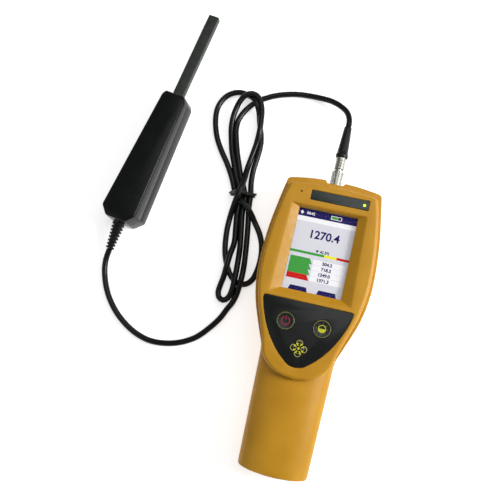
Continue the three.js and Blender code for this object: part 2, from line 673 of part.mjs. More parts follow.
// The ribbed sleeve that the cord leaves by: it thins towards the cord and slopes down to it.
function strainRelief() {
  const [near, far] = RELIEF_Y;
  const pitch = (near - far) / RIBS;
  const profile = [[0, far]];
  for (let i = 0; i < RIBS; i += 1) {
    const radius = THREE.MathUtils.lerp(RELIEF_R[1], RELIEF_R[0], i / (RIBS - 1));
    const y = far + i * pitch;
    profile.push([radius, y], [radius, y + 0.62 * pitch]);
    if (i < RIBS - 1) profile.push([radius - 0.8, y + 0.62 * pitch + 0.1], [radius - 0.8, y + pitch - 0.1]);
    else profile.push([radius, near]);
  }
  const geometry = turned([...profile, [0, near]], 16, 0, 0);
  const position = geometry.attributes.position;
  for (let i = 0; i < position.count; i += 1) {
    const along = (near - position.getY(i)) / (near - far);
    position.setZ(i, position.getZ(i) + THREE.MathUtils.lerp(...RELIEF_Z, along));
  }
  return geometry;
}

// ---- the assembly -------------------------------------------------------------------------
function part(name, geometry, material) {
  const mesh = new THREE.Mesh(geometry, material);
  mesh.name = name;
  return mesh;
}

function housing() {
  return [
    part('rear_shell', rearShell(), yellow),
    part('front_shell', frontShell(), yellow),
    part('battery_door', batteryDoor(), yellow),
    ...CASE_SCREWS.map(([x, y], i) => part(`case_screw_${i + 1}`, caseScrew(x, y), screwSteel)),
  ];
}

function display() {
  return [
    part('lcd_gasket', gasket(), foam),
    part('lcd_window', plate([52, 71], 33.3, 34.1), clear),
    part('lcd_module', plate([54, 76], 29.5, 33), displayGrey),
    part('label_plate', labelPlate(), labelGrey),
    part('status_led', upright([[0, 23.3], [LED_R, 23.3], [LED_R, 39.9], [0, 40.3]], ...LED_XY, 16), ledLime),
    part('buzzer', disc(...SOUND_XY, 23.3, 33, 3.9, 18), matteBlack),
  ];
}

function keypad() {
  const quarter = Math.PI / 2;
  const petals = {
    nav_up_key: 0,
    nav_left_key: quarter,
    nav_down_key: 2 * quarter,
    nav_right_key: 3 * quarter,
  };
  return [
    part('keypad_overlay', overlay(), glossBlack),
    part('keypad_board', keyBoard(), boardGreen),
    ...Object.entries(KEY_XY).map(([name, [x, y]]) => part(name, roundKey(x, y), keyGrey)),
    ...Object.entries(petals).map(([name, turn]) => part(name, petalKey(turn), keyGrey)),
    part('nav_ok_key', disc(...NAV_XY, KEY_FOOT_Z, FACE_Z, OK_KEY_R, 16), keyGrey),
  ];
}

function insides() {
  const ends = [BAY_Y[0] + 2.3, BAY_Y[1] - 2.3];
  return [
    part('main_board', mainBoard(), boardGreen),
    part('battery_tray', batteryTray(), matteBlack),
    ...[0, 1, 2].map((i) => part(`battery_cell_${i + 1}`, cell(i), cellBlue)),
    part('contact_spring_plate', contactStrip(ends[0], 1), nickel),
    part('contact_flat_plate', contactStrip(ends[1], -1), nickel),
  ];
}

const plugCollar = () => {
  const [back, front] = COLLAR_Y;
  return turned([[0, back], [COLLAR_R, back], [COLLAR_R, front], [0, front]]);
};

function plugAndCord() {
  return [
    part('probe_socket', socket(), nickel),
    part('socket_nut', socketNut(), nickel),
    part('plug_core', turned([[0, 50.8], [3.5, 50.8], [3.5, 75.3], [0, 75.3]], 20), nickel),
    part('plug_sleeve', plugSleeve(), nickel),
    part('plug_collar', plugCollar(), nickel),
    part('cable_boot', cableBoot(), cordBlack),
    part('cord_plug_side', cordTube(PLUG_ROUTE, 14), cordBlack),
    part('cord_hank', hank(), cordBlack),
    part('cord_tie', tieRing(0), matteBlack),
    part('cord_probe_side', cordTube(PROBE_ROUTE, 24), cordBlack),
  ];
}

function probe() {
  const group = new THREE.Group();
  group.position.set(...PROBE_AT, 0);
  group.rotation.z = THREE.MathUtils.degToRad(PROBE_TURN);
  group.add(
    part('probe_shell_rear', probeShell(-1, PROBE_SPLIT_Z), matteBlack),
    part('probe_shell_front', probeShell(PROBE_SPLIT_Z + GAP, 40), matteBlack),
    part('probe_board', block([-8, 8, 5.5], [8, 88, 7.1]), boardGreen),
    part('probe_rod', probeRod(), rodGrey),
    ...['x', 'y', 'z'].map((axis, i) => {
      const at = ROD_END - FIRST_SENSOR - SENSOR_PITCH * i;
      return part(`sensor_${axis}`, sensorChip(at), boardGreen);
    }),
    ...PROBE_SCREW_Y.map((y, i) => part(`probe_screw_${i + 1}`, probeScrew(y), screwSteel)),
    part('probe_strain_relief', strainRelief(), cordBlack),
  );
  return group;
}

const meter = new THREE.Group();
meter.add(...housing(), ...display(), ...keypad(), ...insides(), ...plugAndCord(), probe());

export default meter;
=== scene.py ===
"""A handheld field meter with a wired probe: the looks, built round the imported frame.

Lengths in the tables below are millimetres in the meter's own frame: +X to the right, +Y towards
the socket, +Z out of the display. to_metres() takes them to Blender's metres.
"""
import math

import bmesh
import bpy
from mathutils import Matrix, Vector


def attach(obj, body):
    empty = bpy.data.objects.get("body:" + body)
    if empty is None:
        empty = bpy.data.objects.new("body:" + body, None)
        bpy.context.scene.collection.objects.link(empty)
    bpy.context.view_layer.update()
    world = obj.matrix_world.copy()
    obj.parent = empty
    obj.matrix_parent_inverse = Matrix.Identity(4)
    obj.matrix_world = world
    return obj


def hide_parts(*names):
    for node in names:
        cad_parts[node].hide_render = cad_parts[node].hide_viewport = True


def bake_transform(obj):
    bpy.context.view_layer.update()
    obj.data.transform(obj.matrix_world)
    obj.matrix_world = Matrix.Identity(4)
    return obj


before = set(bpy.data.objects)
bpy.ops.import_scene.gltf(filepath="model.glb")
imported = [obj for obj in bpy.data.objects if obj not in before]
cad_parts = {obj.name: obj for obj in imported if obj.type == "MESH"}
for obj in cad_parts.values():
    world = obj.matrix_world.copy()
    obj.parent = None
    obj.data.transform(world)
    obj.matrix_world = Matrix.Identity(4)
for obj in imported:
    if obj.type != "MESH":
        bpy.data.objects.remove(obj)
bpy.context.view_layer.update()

MM = 0.001
GAP = 0.3                      # clearance between neighbouring pieces


# ---- camera ----
CAMERA_AT = (0.01014, -0.09561, 0.54041)
CAMERA_AIM = (-0.05894, -0.00384, 0.0)
CAMERA_UP = (-0.21186, 0.95868, 0.18989)
LENS_MM = 46.8
SENSOR_MM = 36.0


def add_camera():
    data = bpy.data.cameras.new("camera")
    data.lens = LENS_MM
    data.sensor_width = SENSOR_MM
    data.clip_end = 20
    camera = bpy.data.objects.new("camera", data)
    bpy.context.collection.objects.link(camera)
    back = (Vector(CAMERA_AT) - Vector(CAMERA_AIM)).normalized()
    right = Vector(CAMERA_UP).cross(back).normalized()
    up = back.cross(right)
    turn = Matrix((right, up, back)).transposed()
    camera.matrix_world = Matrix.Translation(CAMERA_AT) @ turn.to_4x4()
    bpy.context.scene.camera = camera


add_camera()


# ---- small mesh tools ----
def to_metres(point):
    return Vector(point) * MM


def new_object(name, mesh):
    obj = bpy.data.objects.new(name, mesh)
    bpy.context.collection.objects.link(obj)
    return obj


def mesh_object(name, points, faces):
    """A mesh object from points in millimetres."""
    mesh = bpy.data.meshes.new(name)
    mesh.from_pydata([to_metres(p) for p in points], [], faces)
    mesh.update()
    return new_object(name, mesh)


def loft(name, rings, closed_path=False):
    """Joins rings of equally many points by quads, and caps the two ends."""
    count = len(rings[0])
    points = [p for ring in rings for p in ring]
    faces = []
    last = len(rings) if closed_path else len(rings) - 1
    for r in range(last):
        low = r * count
        high = ((r + 1) % len(rings)) * count
        for i in range(count):
            j = (i + 1) % count
            faces.append((low + i, low + j, high + j, high + i))
    if not closed_path:
        faces.append(tuple(reversed(range(count))))
        faces.append(tuple(range((len(rings) - 1) * count, len(rings) * count)))
    obj = mesh_object(name, points, faces)
    face_outwards(obj)
    return obj


def face_outwards(obj):
    bm = bmesh.new()
    bm.from_mesh(obj.data)
    bmesh.ops.recalc_face_normals(bm, faces=bm.faces)
    bm.to_mesh(obj.data)
    bm.free()


def baked(obj):
    """Replaces an object's mesh with the result of its modifiers."""
    graph = bpy.context.evaluated_depsgraph_get()
    result = bpy.data.meshes.new_from_object(obj.evaluated_get(graph))
    obj.modifiers.clear()
    obj.data = result
    return obj


def combine(body, tools, operation):
    """Cuts, joins or meets a body with each tool in turn, and throws the tools away."""
    for tool in tools:
        modifier = body.modifiers.new("boolean", "BOOLEAN")
        modifier.operation = operation
        modifier.solver = "EXACT"
        modifier.object = tool
        bpy.context.view_layer.update()
        baked(body)
        bpy.data.objects.remove(tool)
    return body


def cut(body, *tools):
    return combine(body, tools, "DIFFERENCE")


def join(body, *tools):
    return combine(body, tools, "UNION")


def meet(body, *tools):
    return combine(body, tools, "INTERSECT")


def soften(obj, width, steps, wanted, sharper_than=32):
    """Rounds the sharp edges whose middle point, in millimetres, the test wants."""
    bm = bmesh.new()
    bm.from_mesh(obj.data)
    bmesh.ops.remove_doubles(bm, verts=bm.verts, dist=0.004 * MM)
    edges = []
    for edge in bm.edges:
        if len(edge.link_faces) != 2 or edge.calc_face_angle(0) < math.radians(sharper_than):
            continue
        middle = (edge.verts[0].co + edge.verts[1].co) / 2 / MM
        if wanted(middle):
            edges.append(edge)
    bmesh.ops.bevel(bm, geom=edges, offset=width * MM, segments=steps, profile=0.5,
                    affect="EDGES", clamp_overlap=False)
    bm.to_mesh(obj.data)
    bm.free()
    return obj


def shade(obj, angle=34):
    obj.data.shade_smooth()
    obj.data.set_sharp_from_angle(angle=math.radians(angle))
    return obj


def merged(name, objects):
    """Joins several mesh objects into one."""
    bm = bmesh.new()
    for obj in objects:
        start = len(bm.verts)
        bm.from_mesh(obj.data)
        bm.verts.ensure_lookup_table()
        bmesh.ops.transform(bm, matrix=obj.matrix_world, verts=bm.verts[start:])
        bpy.data.objects.remove(obj)
    mesh = bpy.data.meshes.new(name)
    bm.to_mesh(mesh)
    bm.free()
    return new_object(name, mesh)


def finished(obj, material, body, nodes=(), angle=34):
    """Gives a piece its material and the body that it rides on, and hides the CAD nodes it stands
    for.
    """
    obj.data.materials.clear()
    obj.data.materials.append(material)
    shade(obj, angle)
    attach(obj, body)
    if nodes:
        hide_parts(*nodes)


# ---- curves and outlines ----
def catmull(points, per_span):
    """A smooth plane curve through the points, like a drawing spline."""
    ends = [points[0], *points, points[-1]]
    curve = []
    for i in range(len(points) - 1):
        a, b, c, d = (Vector(p) for p in ends[i:i + 4])
        for k in range(per_span):
            t = k / per_span
            curve.append(0.5 * ((2 * b) + (c - a) * t + (2 * a - 5 * b + 4 * c - d) * t * t
                                + (3 * b - a - 3 * c + d) * t ** 3))
    curve.append(Vector(points[-1]))
    return curve


def centripetal(points, per_span):
    """A smooth space curve through the points that doesn't overshoot where they are uneven."""
    p = [Vector(q) for q in points]
    p = [2 * p[0] - p[1], *p, 2 * p[-1] - p[-2]]
    curve = []
    for i in range(1, len(p) - 2):
        a, b, c, d = p[i - 1:i + 3]
        t0 = 0.0
        t1 = t0 + (b - a).length ** 0.5
        t2 = t1 + (c - b).length ** 0.5
        t3 = t2 + (d - c).length ** 0.5
        for k in range(per_span):
            t = t1 + (t2 - t1) * k / per_span
            ab = a.lerp(b, (t - t0) / (t1 - t0))
            bc = b.lerp(c, (t - t1) / (t2 - t1))
            cd = c.lerp(d, (t - t2) / (t3 - t2))
            abc = ab.lerp(bc, (t - t0) / (t2 - t0))
            bcd = bc.lerp(cd, (t - t1) / (t3 - t1))
            curve.append(abc.lerp(bcd, (t - t1) / (t2 - t1)))
    curve.append(p[-2])
    return curve


def evenly(points, step):
    """The same curve with its points an even step apart."""
    lengths = [0.0]
    for a, b in zip(points, points[1:]):
        lengths.append(lengths[-1] + (b - a).length)
    count = max(2, round(lengths[-1] / step))
    result = []
    span = 0
    for k in range(count + 1):
        target = lengths[-1] * k / count
        while span < len(points) - 2 and lengths[span + 1] < target:
            span += 1
        along = (target - lengths[span]) / max(1e-9, lengths[span + 1] - lengths[span])
        result.append(points[span].lerp(points[span + 1], min(1, along)))
    return result


def quadratic(a, control, b, steps):
    a, control, b = Vector(a), Vector(control), Vector(b)
    return [a.lerp(control, k / steps).lerp(control.lerp(b, k / steps), k / steps)
            for k in range(steps + 1)]


def mirrored(half):
    """Mirrors a right-hand half, listed from the top of the centre line to its foot."""
    right = [half[0]]
    for p in half[1:]:
        if (p - right[-1]).length > 0.01:
            right.append(p)
    left = [Vector((-p.x, p.y)) for p in right if p.x > 0.01]
    return list(reversed(right + list(reversed(left))))


def inset(points, distance):
    """Moves a closed counter-clockwise outline inwards."""
    moved = []
    for i, p in enumerate(points):
        a = (p - points[i - 1]).normalized()
        b = (points[(i + 1) % len(points)] - p).normalized()
        normal = Vector((-a.y - b.y, a.x + b.x)).normalized()
        reach = distance / max(0.5, normal.dot(Vector((-a.y, a.x))))
        moved.append(p + normal * reach)
    return moved


def at_height(points, z):
    return [(p.x, p.y, z) for p in points]


def prism(name, points, z0, z1):
    return loft(name, [at_height(points, z0), at_height(points, z1)])


def rounded_rectangle(x0, y0, x1, y1, radius, steps=4):
    corners = ((x1 - radius, y1 - radius, 0), (x0 + radius, y1 - radius, 90),
               (x0 + radius, y0 + radius, 180), (x1 - radius, y0 + radius, 270))
    points = []
    for x, y, start in corners:
        for k in range(steps + 1):
            angle = math.radians(start + 90 * k / steps)
            points.append(Vector((x + radius * math.cos(angle), y + radius * math.sin(angle))))
    return points


def circle(x, y, radius, sides):
    return [Vector((x + radius * math.cos(2 * math.pi * i / sides),
                    y + radius * math.sin(2 * math.pi * i / sides))) for i in range(sides)]


def box(name, low, high):
    return prism(name, rounded_rectangle(*low[:2], *high[:2], 0.01, 1), low[2], high[2])


def turned(name, profile, sides=48, closed=False):
    """A solid of revolution about +Z: profile points are (radius, z)."""
    rings = [[(r * math.cos(2 * math.pi * i / sides), r * math.sin(2 * math.pi * i / sides), z)
              for i in range(sides)] for r, z in profile]
    return loft(name, rings, closed_path=closed)


def stepped(name, outline, profile):
    """A loft of one outline: the profile gives how far it is drawn in at each height."""
    return loft(name, [at_height(inset(outline, d), z) for d, z in profile])


def pins(centres, radius, sides, z0, z1):
    return [prism("pin", circle(x, y, radius, sides), z0, z1) for x, y in centres]


def stand(obj, x, y, z=0):
    obj.data.transform(Matrix.Translation(to_metres((x, y, z))))
    return obj


def turn_and_place(obj, degrees, at):
    """Turns a piece about +Z and moves it to a point of the plane."""
    obj.data.transform(Matrix.Translation(to_metres((*at, 0)))
                       @ Matrix.Rotation(math.radians(degrees), 4, "Z"))
    return obj


def lay_along_y(obj, x, z):
    """Turns a solid of revolution from +Z to +Y and lifts it to its axis."""
    obj.data.transform(Matrix.Rotation(-math.pi / 2, 4, "X"))
    return stand(obj, x, 0, z)


def arc_profile(radius, height, inwards, upwards, steps):
    """A quarter round in section, from an upright wall over to a flat top."""
    return [(radius - inwards * (1 - math.cos(math.pi / 2 * k / steps)),
             height - upwards + upwards * math.sin(math.pi / 2 * k / steps))
            for k in range(steps + 1)]


# ---- materials ----
def srgb(code):
    """A linear colour from a hexadecimal one."""
    channels = [int(code[i:i + 2], 16) / 255 for i in (1, 3, 5)]
    return [c / 12.92 if c <= 0.04045 else ((c + 0.055) / 1.055) ** 2.4 for c in channels] + [1.0]


class Surface:
    """A Principled material whose nodes are added one step at a time."""

    def __init__(self, name, roughness=0.5, metallic=0.0, specular=0.5):
        self.material = bpy.data.materials.new(name)
        self.material.use_nodes = True
        self.nodes = self.material.node_tree.nodes
        self.links = self.material.node_tree.links
        self.shader = self.nodes["Principled BSDF"]
        self.shader.inputs["Roughness"].default_value = roughness
        self.shader.inputs["Metallic"].default_value = metallic
        self.shader.inputs["Specular IOR Level"].default_value = specular
        self.place = self.nodes.new("ShaderNodeTexCoord").outputs["Object"]
        self.normal = None

    def noise(self, size_mm, detail=3.0, stretch=None):
        """Noise whose features are about size_mm across, and longer along a stretched axis."""
        texture = self.nodes.new("ShaderNodeTexNoise")
        texture.inputs["Scale"].default_value = 1 / (size_mm * MM)
        texture.inputs["Detail"].default_value = detail
        place = self.place
        if stretch:
            mapping = self.nodes.new("ShaderNodeMapping")
            mapping.inputs["Scale"].default_value = stretch
            self.links.new(place, mapping.inputs["Vector"])
            place = mapping.outputs["Vector"]
        self.links.new(place, texture.inputs["Vector"])
        return texture.outputs["Fac"]

    def ramp(self, value, stops):
        node = self.nodes.new("ShaderNodeValToRGB")
        elements = node.color_ramp.elements
        while len(elements) < len(stops):
            elements.new(0.5)
        for element, (position, colour) in zip(elements, stops):
            element.position = position
            element.color = srgb(colour) if isinstance(colour, str) else [colour] * 3 + [1]
        self.links.new(value, node.inputs["Fac"])
        return node.outputs["Color"]

    def colour(self, *stops, size_mm=14, detail=4.0, stretch=None):
        """Drifts the base colour between the stops with noise."""
        self.links.new(self.ramp(self.noise(size_mm, detail, stretch), stops),
                       self.shader.inputs["Base Color"])
        return self

    def patchy(self, low, high, size_mm=6):
        """Lets the roughness drift between two values."""
        self.links.new(self.ramp(self.noise(size_mm), [(0.3, low), (0.7, high)]),
                       self.shader.inputs["Roughness"])
        return self

    def grain(self, size_mm, depth_mm, strength=0.5, detail=2.0, stretch=None):
        """Adds a fine bump."""
        bump = self.nodes.new("ShaderNodeBump")
        bump.inputs["Distance"].default_value = depth_mm * MM
        bump.inputs["Strength"].default_value = strength
        self.links.new(self.noise(size_mm, detail, stretch), bump.inputs["Height"])
        if self.normal:
            self.links.new(self.normal, bump.inputs["Normal"])
        self.normal = bump.outputs["Normal"]
        self.links.new(self.normal, self.shader.inputs["Normal"])
        return self

    def set(self, **values):
        for socket, value in values.items():
            self.shader.inputs[socket.replace("_", " ")].default_value = value
        return self


def coat(name, dark, light, size_mm, roughness, grain=None, specular=0.5, metallic=0.0,
         low_stop=0.3, stretch=None, grain_stretch=None):
    """A finish whose colour drifts between two shades and whose roughness drifts too."""
    surface = Surface(name, metallic=metallic, specular=specular)
    surface.colour((low_stop, dark), (1 - low_stop, light), size_mm=size_mm, stretch=stretch)
    surface.patchy(*roughness)
    if grain:
        surface.grain(*grain, stretch=grain_stretch)
    return surface.material


def ink_coat(name, light, dark):
    return coat(name, dark, light, 1.5, (0.35, 0.5, 2), specular=0.4)


def rubber(name, light, dark, low, high):
    return coat(name, dark, light, 9, (low, high, 5), (0.5, 0.012, 0.25), specular=0.3)


def metal(name, light, dark, low, high, stretch=None):
    return coat(name, dark, light, 1.2, (low, high, 1.5), (0.3, 0.006, 0.3), metallic=1.0,
                stretch=stretch, grain_stretch=stretch)


def inner_plastic(name, light, dark, low=0.5, high=0.65):
    return coat(name, dark, light, 5, (low, high, 4), (0.4, 0.01, 0.3))


def lit(name, code, strength):
    """A lit patch of the display: its colour both glows and shows under light."""
    surface = Surface(name, roughness=0.5, specular=0.2)
    surface.colour((0.2, code), (0.8, code), size_mm=3)
    surface.links.new(surface.shader.inputs["Base Color"].links[0].from_socket,
                      surface.shader.inputs["Emission Color"])
    surface.set(Emission_Strength=strength)
    surface.grain(0.25, 0.002, 0.1)
    return surface.material


def clear_window():
    surface = Surface("clear_window", roughness=0.05, specular=0.5)
    surface.patchy(0.03, 0.07, 9)
    surface.set(Base_Color=(0.02, 0.02, 0.02, 1), Alpha=0.05)
    surface.grain(3, 0.004, 0.1)
    return surface.material


YELLOW = coat("case_yellow", "#BE8813", "#C8921C", 22, (0.36, 0.5, 5), (0.35, 0.02, 0.35), 0.35)
FILM = coat("overlay_film", "#0B0D0C", "#111413", 12, (0.24, 0.34, 9), (1.6, 0.006, 0.1), 0.35,
            low_stop=0.35)
KEY = coat("key_film", "#0E100F", "#151817", 4, (0.2, 0.3, 3), (0.5, 0.008, 0.2), low_stop=0.35)
OLIVE = ink_coat("ink_olive", "#8A8A4A", "#76763C")
PALE_OLIVE = ink_coat("ink_pale_olive", "#B3B26C", "#97975A")
CRIMSON = ink_coat("ink_crimson", "#A0243C", "#86182E")
SUN_YELLOW = ink_coat("ink_yellow", "#D8D628", "#BDBB20")
LABEL = coat("label_film", "#1C2421", "#2A3430", 8, (0.22, 0.34, 5), (0.4, 0.006, 0.2),
             stretch=(0.4, 1, 1))
NICKEL = metal("nickel", "#D2D3CE", "#A8AAA4", 0.2, 0.32)
BRUSHED = metal("brushed_nickel", "#C6C7C0", "#8E908A", 0.26, 0.42, (1, 0.1, 1))
SCREW_STEEL = metal("screw_steel", "#A4A6A4", "#7F8180", 0.3, 0.45)
CORD_BLACK = rubber("cord_black", "#0D100F", "#070908", 0.2, 0.3)
BOOT_BLACK = rubber("boot_black", "#151918", "#0C0F0E", 0.3, 0.42)
TIE_BLACK = rubber("tie_black", "#101312", "#080A09", 0.3, 0.45)
PROBE_BLACK = coat("probe_black", "#080A09", "#0F1211", 18, (0.2, 0.28, 6), (0.3, 0.006, 0.2), 0.22)
ROD_GREY = inner_plastic("rod_grey", "#2E332F", "#20241F", 0.45, 0.6)
BOARD = inner_plastic("board_green", "#1F5A34", "#184829", 0.35, 0.5)
INNER_BLACK = inner_plastic("inner_black", "#262928", "#1B1E1D")
CELL_WRAP = inner_plastic("cell_wrap", "#3D5070", "#324460", 0.25, 0.35)
FOAM = inner_plastic("foam", "#343434", "#262626", 0.85, 0.95)
PANEL = inner_plastic("panel_grey", "#B9BCBE", "#A4A7A9", 0.35, 0.5)
WINDOW = clear_window()
SCREEN_PALE = lit("screen_pale", "#D8D8E0", 0.3)
SCREEN_WHITE = lit("screen_white", "#F2F2F6", 0.3)
SCREEN_INDIGO = lit("screen_indigo", "#150A5C", 0.2)
SCREEN_GREEN = lit("screen_green", "#3F9E40", 0.25)
SCREEN_YELLOW = lit("screen_yellow", "#F0E818", 0.3)
SCREEN_RED = lit("screen_red", "#C80C0C", 0.3)
SCREEN_BLACK = lit("screen_black", "#16141E", 0.3)
LIME = lit("led_lime", "#C8F040", 1.2)


# ---- the cord ----
CORD_R = 2.5
CORD_SIDES = 16
CORD_STEP = 2.4                # spacing of the tube's rings
ON_TABLE = 2.6                 # height of a route's point that gives no height
PLUG_ROUTE = [                 # from the boot to the hank, where it lies on the table
    (0, 114.3, 16), (-0.2, 120, 15.4), (-3.2, 127.5, 13.4), (-9.5, 133.6, 10), (-18.5, 138, 7.3),
    (-28.5, 140.4, 4.2), (-39, 141.2, 2.8), (-50, 140.6), (-61, 138.2), (-70.4, 134.9),
]
HANK_ROUTE = [
    # in under the loops' right sides, down to the tie and through the bundle
    (-76.1, 131.8), (-80.4, 129.4), (-84.1, 126.3), (-87.7, 122.5), (-91.3, 117.5),
    (-94.1, 111.8), (-95.7, 106.1), (-95.3, 96.8), (-93.5, 90.1), (-90.1, 79.1), (-86, 68.3),
    (-81.7, 57.7), (-76.4, 47), (-73.2, 39), (-72.6, 26), (-70.2, 12), (-67.7, -2, 3),
    (-65.8, -16, 6.4), (-64.9, -28, 7.8), (-64.7, -36, 7.8),
    # the tight fold at the foot of the hank
    (-64.9, -42, 7.5), (-66.4, -47.6, 6.1), (-70.2, -50.8, 4.5), (-74.4, -49.4, 3.4),
    (-76.4, -44.8, 3), (-76, -38.8, 3.3), (-74.6, -32, 5.9),
    # up through the tie to the inner loop
    (-74, -23, 7.7), (-73.7, -12, 6.1), (-73.1, -1, 3), (-75, 12), (-77, 26), (-77.4, 38),
    (-80.2, 47), (-85.6, 56.8), (-90.1, 67.5), (-94.5, 78.2), (-97.8, 89.3), (-99.9, 98.5, 3.6),
    (-100.4, 108.7, 5), (-99.4, 115.9, 6.1), (-97.6, 122, 7.3), (-95.2, 126.8, 8),
    (-92, 130, 8.2), (-88.1, 131.4, 8), (-84.2, 130.5, 7.7), (-80.9, 127.6, 7.7),
    (-78.3, 123, 7.7), (-76.4, 117.4, 7.6), (-75.2, 109.5, 7.6), (-74.2, 99.5, 7.6),
    (-74.8, 87.6, 4.1), (-76.3, 76, 2.7), (-77.4, 64.2, 3.6), (-77.1, 54.5, 6.8),
    # over the bundle, down its left side and under its foot
    (-77.5, 46.6, 9.8), (-78.6, 39.8, 10.7), (-79.9, 33, 8.9), (-81.2, 26.2, 5.2),
    (-82, 18.6, 2.8), (-82, 10), (-81.2, 1.5), (-79.8, -7.1), (-77.5, -14.8), (-73.9, -22.6),
    (-69.6, -29), (-64.8, -33), (-59.2, -34.5), (-54, -32.5), (-50.5, -27.8), (-48.8, -21.2),
    (-48.1, -13.6), (-48.5, -5), (-50.4, 3.4), (-54, 11.2), (-59.8, 19.4, 3), (-65.6, 27, 6.4),
    (-71, 32, 7.7), (-76.4, 36, 7.3),
    # up through the tie to the outer loop
    (-80.4, 39, 5.3), (-83.4, 43, 3.1), (-86.2, 49), (-90.3, 57), (-96.2, 66.3), (-103.5, 76.3),
    (-109.9, 86.7), (-114.4, 98.4), (-116.4, 108.1), (-116.4, 115.2), (-114.7, 121),
    (-111.5, 126.4), (-106.8, 130.3), (-102, 132.2), (-96.8, 132.5), (-92, 131, 2.8),
    (-87.8, 128.8, 5.2), (-84.2, 125.5, 7.3), (-81, 120.9, 6.8), (-78.6, 115.4, 4.1),
    (-76.2, 107), (-72.6, 96.8), (-71.1, 88.7), (-71.2, 77), (-72, 65.4), (-71.4, 54),
    (-69.2, 42), (-68.2, 32),
    # out along the bundle's right side
    (-66, 20), (-63.6, 6), (-61.6, -8, 2.8), (-60.2, -18, 5), (-59.4, -27, 7.7),
    (-59.6, -36.4, 7.5), (-60.8, -45.5, 5), (-63, -52, 3.3),
]
PROBE_ROUTE = [                # from the hank to the probe's strain relief
    (-65.6, -56.8), (-69.4, -65.4), (-75.6, -74.7), (-85.3, -85.6), (-97.4, -92.8),
    (-110.8, -96.6), (-124.6, -97), (-140, -92.2), (-156.6, -81), (-168.8, -66.4),
    (-176, -50.4, 2.8), (-177.6, -39.4, 4.1), (-176.3, -30.2, 6.3),
]


def tube_rings(path, radius, sides):
    """Rings round a path, each carried on from the last so that the tube doesn't twist."""
    rings = []
    side = None
    for i, p in enumerate(path):
        ahead = path[min(i + 1, len(path) - 1)]
        behind = path[max(i - 1, 0)]
        along = (ahead - behind).normalized()
        if side is None:
            side = along.orthogonal().normalized()
        side = (side - along * side.dot(along)).normalized()
        other = along.cross(side)
        rings.append([p + (side * math.cos(2 * math.pi * k / sides)
                           + other * math.sin(2 * math.pi * k / sides)) * radius
                      for k in range(sides)])
    return rings


def add_cord():
    route = [(*p, ON_TABLE)[:3] for p in PLUG_ROUTE + HANK_ROUTE + PROBE_ROUTE]
    path = evenly(centripetal(route, 8), CORD_STEP)
    path = [Vector((p.x, p.y, max(p.z, CORD_R + 0.02))) for p in path]
    cord = loft("cord", tube_rings(path, CORD_R, CORD_SIDES))
    cord.data.materials.append(CORD_BLACK)
    shade(cord, 60)
    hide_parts("cord_plug_side", "cord_hank", "cord_probe_side")
    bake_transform(cord)


add_cord()


# ---- dimensions shared with the CAD ----
CASE_TOP = 60.8
CASE_CORNER = (38.3, 57)
CASE_SIDE = [
    (41.4, 38), (44.6, 15), (46, -10), (45.2, -28), (41.9, -46), (36.2, -62.5), (30.4, -77.5),
]
HANDLE_SIDE = ((29.3, -84), (27.1, -167.8))
HANDLE_END = -174.4
NECK_Y = -78
POD_TOP = 53.9
POD_CORNER = (35.3, 51.6)
POD_SIDE = [
    (38.9, 36), (42.1, 13), (43.4, -10), (42.6, -28), (39.3, -46), (33.9, -62), (29.4, -76),
]
POD_CHIN = [(29.4, -76), (26.8, -85.5), (21.4, -92.6), (12.6, -98.3), (0, -100.4)]
SHIELD_SIDE = [
    (35.5, -43.8), (33.4, -51.8), (29.2, -62.4), (23.3, -72.8), (15.2, -82.8), (7, -89.8),
]
FACE_Z = 40
RIM_Z = 31
LEDGE_Z = 23.7
PARTING_Z = 17.55
HANDLE_TOP_Z = 34
HANDLE_DRAFT = 0.00092
CROWN_POWER = 2.3
RIM_FALL_Y = -35
FLOOR_Z = 4
WALL = 2.6
FACE_ROUND = 3
SCREEN_HALF = (23.6, 33.1)
FUNNEL_Z = 36
FUNNEL_TOP = (30.2, 34.9)
FUNNEL_FOOT = (32.3, -38.5)
KEY_R = 7
KEYS = {"power": (-14.3, -58.3), "backlight": (14.2, -58.4)}
NAV = (0, -76.8)
PETAL_R = 2.85
PETAL_REACH = 4
OK_R = 1.35
OVERLAY_Z = (39, 39.8)
LABEL_AT = (6.6, 43.8)
LABEL_HALF = (23.1, 3.9)
LED_AT = (26.1, 43.6)
LED_R = 1.5
LED_LENS_R = 1.1
SOUND_AT = (-24.5, 44.9)
CASE_SCREWS = [(-32, 46), (32, 46), (-24, -66), (24, -66)]
SCREW_BORE = 1.7
SCREW_SHANK_R = 1.4
BAY_Y = (-163, -104)
DOOR_HALF = 22.6
DOOR_SPREAD = 0.8
DOOR_T = 2.2
DOOR_TOP_Y = -101
SOCKET_Z = 16
NOTCH = ((9.4, 61.8), (6.2, 58.2))


# ---- the housing ----
def ease_corners(points, corners, reach, share=0.72):
    """Rounds some corners of a closed outline, using no more than a share of the edges there."""
    result = []
    for i, p in enumerate(points):
        if i in corners:
            ends = []
            for other in (points[i - 1], points[(i + 1) % len(points)]):
                ends.append(p.lerp(other, min(share, reach / (other - p).length)))
            result += quadratic(ends[0], p, ends[1], 6)
        else:
            result.append(p)
    return result


def sharp_corners(points):
    """The corners at which an outline turns by more than 30 degrees."""
    return [i for i, p in enumerate(points)
            if (p - points[i - 1]).angle(points[(i + 1) % len(points)] - p) > math.radians(30)]


def case_outline():
    top = quadratic((0, CASE_TOP), (20, CASE_TOP), CASE_CORNER, 5)
    side = catmull([CASE_CORNER, *CASE_SIDE], 3)
    end_x, end_y = HANDLE_SIDE[1]
    foot = quadratic((end_x - 0.1, end_y - 3.6), (12, HANDLE_END), (0, HANDLE_END), 4)
    return mirrored([*top, *side, Vector(HANDLE_SIDE[0]), *foot])


